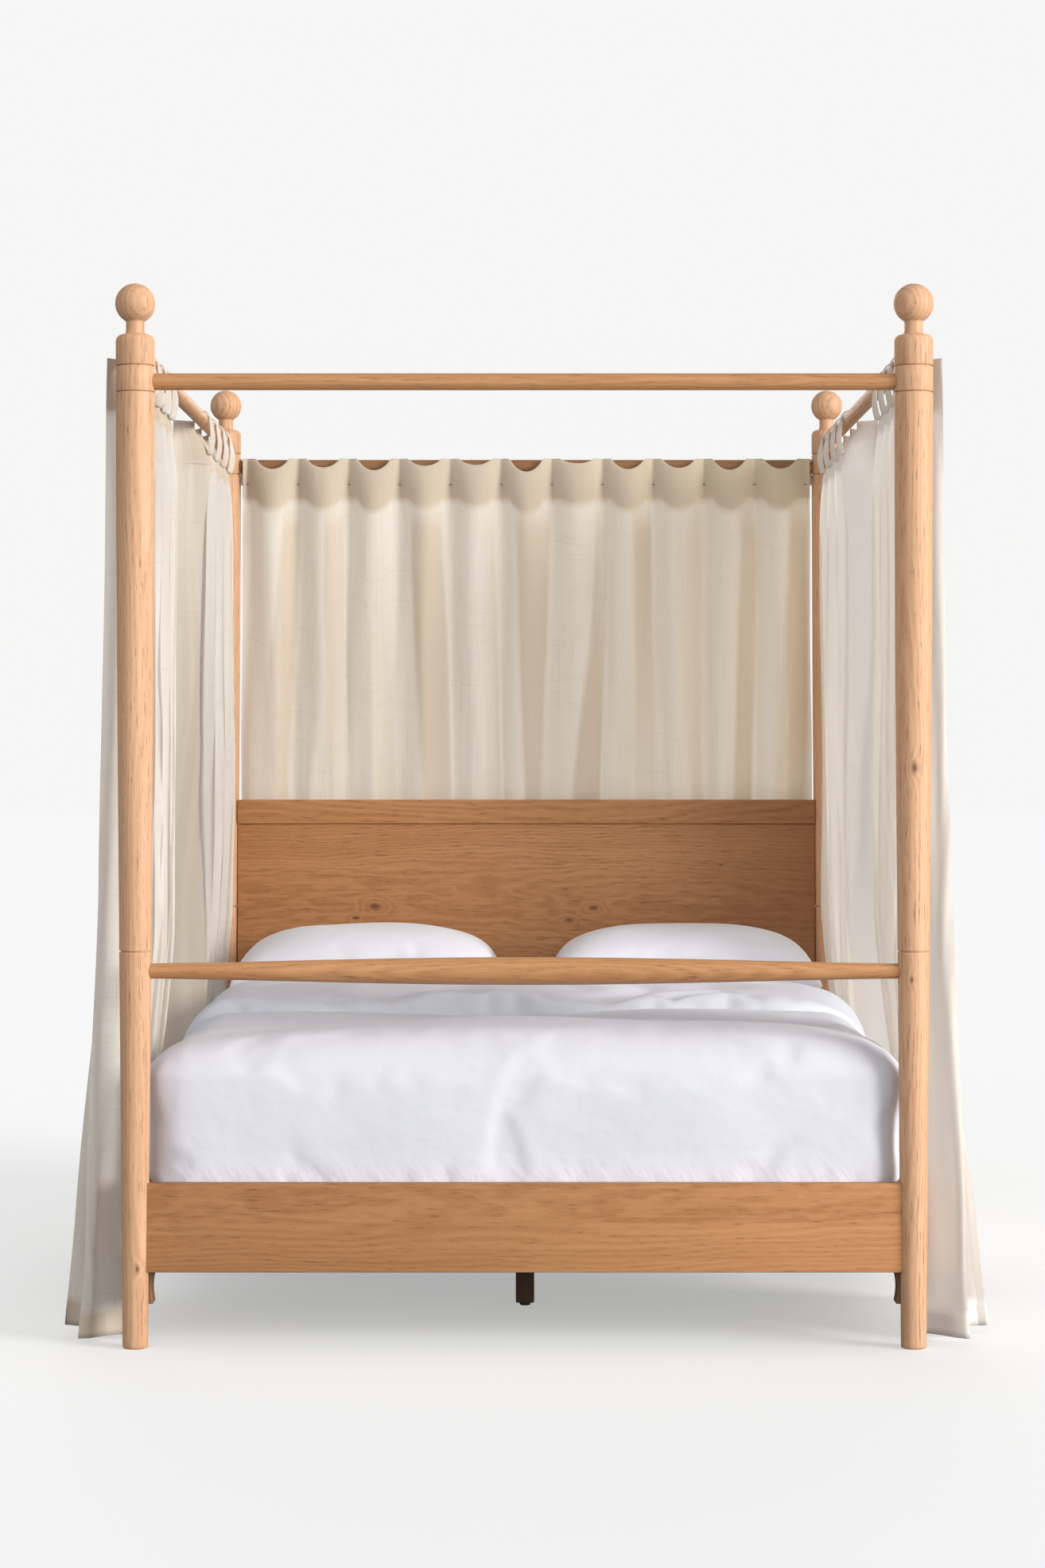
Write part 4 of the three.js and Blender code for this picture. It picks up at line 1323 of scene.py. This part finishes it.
def side_surface(end, side, seed):
    """How a side curtain hangs: s counts pleats from the post, with a tab at the middle of each."""
    tabs = [middle(f"curtain_{end}_{side}_{i}").y for i in (1, 2, 3, 4)]
    half = extent(f"curtain_{end}_{side}_1").y / 2
    away = 1.0 if tabs[3] > tabs[0] else -1.0
    stations = [0.0, 0.5, 1.5, 2.5, 3.5, 4.0]
    places = [tabs[0] - away * half, *tabs, tabs[3] + away * half]
    pitch = abs(tabs[1] - tabs[0])
    wander, depth, lean, fine = (Drift(seed + k, along=a, up=b) for k, (a, b) in
                                 enumerate(((0.30, 0.5), (0.45, 0.45), (0.3, 0.4), (1.6, 0.9))))

    def surface(s, z):
        fall = smooth_step(1.95 - z, 0.0, 1.1)
        below_rail = smooth_step(1.95 - z, 0.0, 0.15)
        near_floor = smooth_step(0.9 - z, 0.0, 0.9)
        phase = s + fall * 0.085 * wander(s, z)
        shift = np.interp(s, (0, 4), INNER_SHIFT[end]) * below_rail * smooth_step(z, 0.5, 0.9)
        inner = eased(z, SIDE_FALL["height"], SIDE_FALL["inner"], 0.012) + shift
        if end == "front":
            inner = inner + (0.085 * s / 4 - 0.004) * (1 - smooth_step(z, 0.12, 0.34))
        outer = eased(z, SIDE_FALL["height"], SIDE_FALL["outer"], 0.05)
        outer = outer + near_floor * np.interp(s, range(5), LOBES)
        wave = np.cos(2 * np.pi * phase)
        wave = wave * (1.18 - 0.18 * wave * wave)
        edge = 1 - smooth_step(s, 0.12, 0.42)
        wave = wave * (1 - edge) + (1 - 3.3 * s) * edge
        swing = (outer - inner) / 2 * (1 + fall * 0.10 * depth(s, z) - 0.02)
        x = (inner + outer) / 2 + swing * wave + fall * 0.0045 * fine(s, z) + near_floor * 0.008 * lean(s, z)
        y = np.interp(s, stations, places)
        roll = smooth_step(1.99 - z, 0.0, 0.25)
        y = y - away * pitch * 0.085 * roll * np.sin(4 * np.pi * phase)
        ripple = np.sin(2 * np.pi * (5.2 * s + 1.1 * wander(s + 2.0, z)))
        y = y + fall * (0.006 * fine(s + 3.1, z) + 0.0016 * ripple)
        return np.stack([OUT[side] * x, y, z], axis=-1)

    return surface, tabs, away


def hang_side_curtain(end, side):
    """One panel of cloth, spread between its post and its leading tab, and its four tabs."""
    corner = f"{end}_{side}"
    seed = sizes().cloth_seed + 10 * CORNERS.index(corner) + 100
    surface, tabs, away = side_surface(end, side, seed)
    hem_drift = Drift(seed + 7, along=0.35)
    droop = 0.020

    def bottom(s):
        return 0.009 + 0.0045 * (1 + hem_drift(s, 0.0))

    def top(s):
        between = np.sin(np.pi * (s - 0.5)) ** 2 * ((s > 0.5) & (s < 3.5))
        return 2.049 - droop * between

    def lead_painted_shade(s, z):
        """Painted shade near the edge that leads when the panel is drawn: the doubled colour on single cloth,
        a little less of it high up.
        """
        return smooth_step(s, 3.42, 3.50) * (1.0 - 0.15 * smooth_step(z, 1.2, 1.9))

    across = np.linspace(0, 4, 193)
    facing = -1.0 if (side == "right") == (away > 0) else 1.0
    rows = curtain_rows(bottom, top, sizes().header_height, sizes().hem_height, 96, 0.0016, facing)
    # Only the rear left panel gets painted shade on the face by its leading edge.
    cloth, width, length = cloth_mesh(f"curtain_{corner}_cloth", surface, across, rows, side_linen(side),
                                      lead_painted_shade if corner == "rear_left" else None)
    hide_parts(*(f"curtain_{corner}_{i}" for i in (1, 2, 3, 4)))
    lead = f"curtain_{corner}_lead"
    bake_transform(cloth)

    bodies = ["root", f"curtain_{corner}_tab_2", f"curtain_{corner}_tab_3", lead]
    for i, (y, body) in enumerate(zip(tabs, bodies), start=1):
        loop = side_tab(f"curtain_{corner}_tab_{i}", side, y, seed + i)
        stands_for(loop, "linen", body=body)


def side_tab(name, side, y, seed):
    """A creased strip from the header's top, over the rail, down its bed side to the seam below."""
    wrap = RAIL_RADIUS + 0.0022
    path = [(POST_X + wrap + 0.0004, SIDE_RAIL_Z - 0.034), (POST_X + wrap, SIDE_RAIL_Z - 0.016)]
    for turn in np.radians(np.linspace(-8, 182, 22)):
        path.append((POST_X + wrap * math.cos(turn), SIDE_RAIL_Z + wrap * math.sin(turn)))
    path += [(POST_X - wrap - 0.001, SIDE_RAIL_Z - 0.018), (POST_X - wrap - 0.0018, SIDE_RAIL_Z - 0.036),
             (POST_X - wrap - 0.0012, SIDE_RAIL_Z - 0.056), (POST_X - wrap + 0.0018, SIDE_RAIL_Z - 0.074),
             (POST_X - wrap + 0.0062, SIDE_RAIL_Z - 0.086)]

    def lay(across, along, height):
        return OUT[side] * across, along, height

    return creased_strip(name, path, y, sizes().tab_width, seed, side_linen(side), lay, fullness=0.0095)


def back_tab(name, x, seed):
    """A creased strip over the rear rail, from the header on its bed side to the seam behind it."""
    wrap = RAIL_RADIUS + 0.0012
    path = [(POST_Y - wrap, END_RAIL_Z + 0.012)]
    for turn in np.radians(np.linspace(40, 235, 26)):
        path.append((POST_Y - wrap * math.cos(turn), END_RAIL_Z + wrap * math.sin(turn)))
    path += [(POST_Y + 0.004, END_RAIL_Z - 0.030), (POST_Y - 0.004, END_RAIL_Z - 0.042),
             (POST_Y - 0.006, END_RAIL_Z - 0.052)]

    def lay(across, along, height):
        return along, across, height

    return creased_strip(name, path, x, 0.040, seed, side_linen("left"), lay, fullness=0.003)


def creased_strip(name, path, place, width, seed, finish, lay, fullness):
    """A strip of cloth along a path in the plane across its rail, with creases along it.

    place is the strip's middle along the rail. lay(across, along, height) turns a point of the strip
    into the bed's x, y and z.
    """
    path = np.array(path)
    steps = np.linalg.norm(np.diff(path, axis=0), axis=1)
    distance = np.concatenate([[0], np.cumsum(steps)])
    total = distance[-1]
    dense = np.linspace(0, total, 60)
    path = np.stack([np.interp(dense, distance, path[:, k]) for k in range(2)], axis=1)
    ahead = np.gradient(path, axis=0)
    ahead /= np.linalg.norm(ahead, axis=1, keepdims=True)
    outward = np.stack([ahead[:, 1], -ahead[:, 0]], axis=1)
    drift = Drift(seed, waves=5, along=0.5, up=0.8)
    columns = 25
    points, cloth = [], []
    for i, (x, z) in enumerate(path):
        share = dense[i] / total
        loose = smooth_step(np.array(share), 0.45, 0.8)
        tip = math.sqrt(max(0.0, 1 - max(0.0, (share - 0.965) / 0.036) ** 2))
        for j in range(columns):
            w = 2 * j / (columns - 1) - 1
            gathers = 1 + math.cos(3.4 * math.pi * w + float(drift(w, share)))
            crease = 0.55 * math.cos(math.pi / 2 * w) + 0.22 * gathers
            lift = (0.0028 + fullness * float(loose)) * crease
            spread = width / 2 * (0.86 + 0.16 * float(loose)) * (0.72 + 0.28 * tip)
            along = place + spread * w + 0.0012 * float(drift(share * 2, w)) * float(loose)
            points.append(lay(x + outward[i, 0] * lift, along, z + outward[i, 1] * lift))
            cloth.append((w * width / 2 + 0.2 * seed, dense[i], 0.25))
    strip = new_piece(name, points, grid_faces(len(path), columns), finish)
    write_cloth(strip, cloth)
    thick = strip.modifiers.new("Cloth", "SOLIDIFY")
    thick.thickness = 0.0013
    thick.offset = 0.0
    apply_modifiers(strip)
    set_facing_out(strip)
    return strip


# The back curtain's bends from the floor up: how far its grooves and bulges lie behind the bed's middle.
BACK_FALL = {
    "height": [0.0, 1.10, 1.20, 1.45, 1.75, 1.90, 1.946, 1.975, 2.03],
    "groove": [1.0995, 1.0985, 1.0965, 1.0830, 1.0620, 1.0560, 1.0565, 1.0470, 1.0462],
    "bulge": [1.0765, 1.0755, 1.0725, 1.0520, 1.0290, 1.0210, 1.0190, 1.0200, 1.0300],
}


def hang_back_curtain():
    """The panel behind the headboard: its header runs along the bed side of the rear rail."""
    low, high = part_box("curtain_back")
    tabs, first, pitch = 12, -0.745, 0.1355
    seed = sizes().cloth_seed + 60
    wander, depth, fine, lean = (Drift(seed + k, along=a, up=b) for k, (a, b) in
                                 enumerate(((0.22, 0.35), (0.35, 0.3), (1.4, 0.8), (0.25, 0.3))))
    post_heights = np.linspace(0, COLLAR_BOTTOM, 30)
    post_radii = [post_radius(z) for z in post_heights]

    def surface(s, z):
        """s is the number of tabs passed. Grooves lie at the tabs, and rounded bulges between them."""
        fall = smooth_step(1.93 - z, 0.0, 0.7)
        phase = s + fall * 0.10 * wander(s, z)
        groove = eased(z, BACK_FALL["height"], BACK_FALL["groove"], 0.02)
        bulge = eased(z, BACK_FALL["height"], BACK_FALL["bulge"], 0.03)
        header = smooth_step(z, 1.86, 1.95)
        wave = np.sin(np.pi * phase) ** 2
        sharp = np.abs(np.sin(np.pi * phase)) ** 0.9
        shape = wave * (1 - 0.75 * header) + sharp * 0.75 * header
        split = 0.20 * fall * np.sin(2 * np.pi * phase * 2 + 1.3 + 2.0 * lean(s, z))
        shape = np.clip(shape * (1 + 0.16 * fall * depth(s, z)) + split * 0.35, -0.12, 1.15)
        shape = np.minimum(shape, 1.15 - 0.17 * smooth_step(1.30 - z, 0.0, 0.15))
        y = groove + (bulge - groove) * shape + fall * 0.0016 * fine(s, z)
        x = first + s * pitch + fall * 0.004 * fine(s + 5.0, z) - 0.006 * np.sin(2 * np.pi * phase)
        reach = POST_X - 0.0012 - np.interp(z, post_heights, post_radii)
        edge = high.x + (reach - high.x) * smooth_step(1.93 - z, 0.0, 0.10)
        return np.stack([np.clip(x * edge / high.x, -edge, edge), y, z], axis=-1)

    def overlap(s, z):
        """Painted shade in the doubled colour on the single cloth between the crown of each bulge and the
        next groove.
        """
        part = (s + 0.16 * wander(s, z)) % 1.0
        width = 0.10 * lean(s * 2.1, z)
        shaded_flank = smooth_step(part, 0.50 + width, 0.60 + width) * (1 - smooth_step(part, 0.86, 1.0))
        fullness = np.clip(0.72 + 0.40 * depth(s * 1.3, z * 0.8), 0, 1)
        return shaded_flank * fullness * smooth_step(1.93 - z, 0.0, 0.12)

    def bottom(s):
        return 0.010 + 0.003 * (1 + fine(s, 0.0) * 0.3)

    def top(s):
        part = s - np.floor(s)
        between = np.sin(np.pi * np.clip((part - 0.22) / 0.56, 0, 1)) ** 0.8
        inside = (s > 0) & (s < tabs - 1)
        uneven = 1 + 0.30 * depth(np.floor(s) * 1.7, 0.0)
        return 2.0125 - sizes().back_droop * between * inside * uneven

    across = np.linspace((low.x - first) / pitch, (high.x - first) / pitch, 12 * 24 + 1)
    rows = curtain_rows(bottom, top, sizes().header_height - 0.002, sizes().hem_height, 88, 0.0016, -1.0)
    cloth, width, length = cloth_mesh("curtain_back_cloth", surface, across, rows, back_linen(), overlap)
    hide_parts("curtain_back")
    tacks = []
    for i in range(tabs):
        loop = back_tab(f"curtain_back_tab_{i + 1:02d}", first + i * pitch, seed + i)
        stands_for(loop, "linen")
        x, y, z = surface(np.array([i + 0.02]), np.array([1.9455]))[0]
        tacks.append(box_mesh((x - 0.0042, y - 0.0022, z - 0.0012),
                              (x + 0.0042, y + 0.0006, z + 0.0012), 0.0005))
    thread = joined("curtain_back_bar_tacks", tacks, sewing_thread("sewing_thread", colours().thread))
    stands_for(thread, "linen")
    stands_for(cloth, "linen")


# ---------------------------------------------------------------- stage


CAMERA_PLACE = (0.016, -8.265, 1.229)
CAMERA_LENS = 80.04
CAMERA_SHIFT = (-0.0062, -0.0200)
BACKDROP_SEEN = (0.92, 0.92, 0.915, 1)
BACKDROP_LIGHT = (0.93, 0.96, 1.0, 1)
BACKDROP_STRENGTH = 0.42
FLOOR_REACH = 60.0
FLOOR_LEVEL = -0.0005
FLOOR_LIFT = 0.43
FLOOR_BOUNCE = 0.5
# Each lamp's name, where its light comes from, its strength, its spread in degrees and its tint.
SUNS = (
    ("key", (0.86, -0.50, 0.22), 3.25, 30, (1.0, 0.98, 0.955)),
    ("front", (0.0, -1.0, 0.20), 0.85, 60, (0.97, 0.98, 1.0)),
    ("left", (-0.9, -0.7, 0.20), 0.42, 50, (1.0, 0.975, 0.94)),
    ("rear", (0.0, 1.0, 0.12), 2.2, 50, (1.0, 0.98, 0.95)),
)
SIDE_PANEL_PLACE = (2.45, -2.3, 1.2)
SIDE_PANEL_AIM = (0.7, -0.6, 1.1)
SIDE_PANEL_SIZE = (1.2, 2.0)
SIDE_PANEL_POWER = 18.0


def lay_floor():
    corners = [(x * FLOOR_REACH, y * FLOOR_REACH, FLOOR_LEVEL)
               for x, y in ((-1, -1), (1, -1), (1, 1), (-1, 1))]
    floor = new_piece("studio_floor", corners, [(0, 1, 2, 3)], studio_floor("studio_floor", colours().floor))
    return floor


def light_backdrop(scene):
    """A pale backdrop, brighter to look at than the light that it gives."""
    world = bpy.data.worlds.new("studio")
    scene.world = world
    f = Finish(world)
    seen = f.node("ShaderNodeBackground", sockets={"Color": BACKDROP_SEEN}).outputs[0]
    lit = f.node("ShaderNodeBackground",
                 sockets={"Color": BACKDROP_LIGHT, "Strength": BACKDROP_STRENGTH}).outputs[0]
    looked_at = f.node("ShaderNodeLightPath").outputs["Is Camera Ray"]
    mixed = f.node("ShaderNodeMixShader", sockets={0: looked_at, 1: lit, 2: seen}).outputs[0]
    f.node("ShaderNodeOutputWorld", sockets={"Surface": mixed})


def add_lamp(scene, name, kind, strength, source):
    """A lamp that shines from the direction of source."""
    light = bpy.data.lights.new(name, kind)
    light.energy = strength
    lamp = bpy.data.objects.new(name, light)
    lamp.rotation_euler = Vector(source).to_track_quat("Z", "Y").to_euler()
    scene.collection.objects.link(lamp)
    return lamp


def light_studio(scene, floor):
    """Broad soft lamps all round, and a soft panel on the right that is kept off the floor."""
    for name, source, strength, spread, tint in SUNS:
        lamp = add_lamp(scene, name, "SUN", strength, source)
        lamp.data.angle = math.radians(spread)
        lamp.data.color = tint

    source = Vector(SIDE_PANEL_PLACE) - Vector(SIDE_PANEL_AIM)
    lamp = add_lamp(scene, "side panel", "AREA", SIDE_PANEL_POWER, source)
    lamp.location = SIDE_PANEL_PLACE
    lamp.data.shape = "RECTANGLE"
    lamp.data.size, lamp.data.size_y = SIDE_PANEL_SIZE
    unlit = bpy.data.collections.new("kept out of the side panel's light")
    unlit.objects.link(floor)
    unlit.collection_objects[0].light_linking.link_state = "EXCLUDE"
    lamp.light_linking.receiver_collection = unlit


def place_camera(scene):
    camera = bpy.data.objects.new("camera", bpy.data.cameras.new("camera"))
    camera.location = CAMERA_PLACE
    camera.rotation_euler = (math.pi / 2, 0, 0)
    camera.data.lens = CAMERA_LENS
    camera.data.shift_x, camera.data.shift_y = CAMERA_SHIFT
    scene.collection.objects.link(camera)
    scene.camera = camera


def set_stage():
    """The floor, the backdrop, the soft studio lamps and the camera."""
    scene = bpy.context.scene
    scene.view_settings.view_transform = "Standard"
    scene.view_settings.look = "None"
    floor = lay_floor()
    light_backdrop(scene)
    light_studio(scene, floor)
    place_camera(scene)


# ---------------------------------------------------------------- operators


class BED_OT_stage(bpy.types.Operator):
    """Set out the floor, lights and camera"""
    bl_idname = "bed.stage"
    bl_label = "Set the stage"

    def execute(self, context):
        set_stage()
        return {"FINISHED"}


class BED_OT_posts(bpy.types.Operator):
    """Turn the four posts with their collars and ball finials"""
    bl_idname = "bed.posts"
    bl_label = "Turn the posts"

    def execute(self, context):
        for corner in CORNERS:
            centre = middle(f"corner_collar_{corner}")
            turn_post(corner, centre.x, centre.y)
            turn_collar_and_finial(corner, centre.x, centre.y)
        return {"FINISHED"}


class BED_OT_rails(bpy.types.Operator):
    """Turn the canopy rails and the swelling foot rail"""
    bl_idname = "bed.rails"
    bl_label = "Turn the rails"

    def execute(self, context):
        turn_canopy_rails()
        turn_foot_rail()
        return {"FINISHED"}


class BED_OT_boards(bpy.types.Operator):
    """Plane the footboard, headboard and side rails"""
    bl_idname = "bed.boards"
    bl_label = "Plane the boards"

    def execute(self, context):
        plane_boards()
        return {"FINISHED"}


class BED_OT_base(bpy.types.Operator):
    """Fit the battens, slats, beam and legs"""
    bl_idname = "bed.base"
    bl_label = "Fit the base"

    def execute(self, context):
        fit_base()
        return {"FINISHED"}


class BED_OT_mattress(bpy.types.Operator):
    """Make the mattress and stretch its fitted sheet"""
    bl_idname = "bed.mattress"
    bl_label = "Make the mattress"

    def execute(self, context):
        make_mattress()
        return {"FINISHED"}


class BED_OT_duvet(bpy.types.Operator):
    """Spread the duvet and turn back its head end"""
    bl_idname = "bed.duvet"
    bl_label = "Spread the duvet"

    def execute(self, context):
        spread_duvet()
        return {"FINISHED"}


class BED_OT_pillows(bpy.types.Operator):
    """Fill the two pillows"""
    bl_idname = "bed.pillows"
    bl_label = "Fill the pillows"

    def execute(self, context):
        fill_pillows()
        return {"FINISHED"}


class BED_OT_side_curtains(bpy.types.Operator):
    """Hang the four side curtains on their tabs"""
    bl_idname = "bed.side_curtains"
    bl_label = "Hang the side curtains"

    def execute(self, context):
        for end in ENDS:
            for side in SIDES:
                hang_side_curtain(end, side)
        return {"FINISHED"}


class BED_OT_back_curtain(bpy.types.Operator):
    """Hang the curtain behind the headboard"""
    bl_idname = "bed.back_curtain"
    bl_label = "Hang the back curtain"

    def execute(self, context):
        hang_back_curtain()
        return {"FINISHED"}


OPERATORS = (
    BED_OT_stage, BED_OT_posts, BED_OT_rails, BED_OT_boards, BED_OT_base, BED_OT_mattress,
    BED_OT_duvet, BED_OT_pillows, BED_OT_side_curtains, BED_OT_back_curtain,
)


class BED_PT_panel(bpy.types.Panel):
    """The bed's sizes, colours and making steps"""
    bl_idname = "BED_PT_panel"
    bl_label = "Four poster bed"
    bl_space_type = "VIEW_3D"
    bl_region_type = "UI"
    bl_category = "Bed"

    def draw(self, context):
        for group in (context.scene.bed_sizes, context.scene.bed_colours):
            box = self.layout.box()
            for name in group.__annotations__:
                box.prop(group, name)
        for operator in OPERATORS:
            self.layout.operator(operator.bl_idname)


CLASSES = (BedSizes, BedColours, *OPERATORS, BED_PT_panel)


def register():
    for cls in CLASSES:
        bpy.utils.register_class(cls)
    bpy.types.Scene.bed_sizes = PointerProperty(type=BedSizes)
    bpy.types.Scene.bed_colours = PointerProperty(type=BedColours)


def unregister():
    del bpy.types.Scene.bed_colours
    del bpy.types.Scene.bed_sizes
    for cls in reversed(CLASSES):
        bpy.utils.unregister_class(cls)


def main():
    register()
    for operator in OPERATORS:
        group, name = operator.bl_idname.split(".")
        getattr(getattr(bpy.ops, group), name)()


if __name__ == "__main__":
    main()
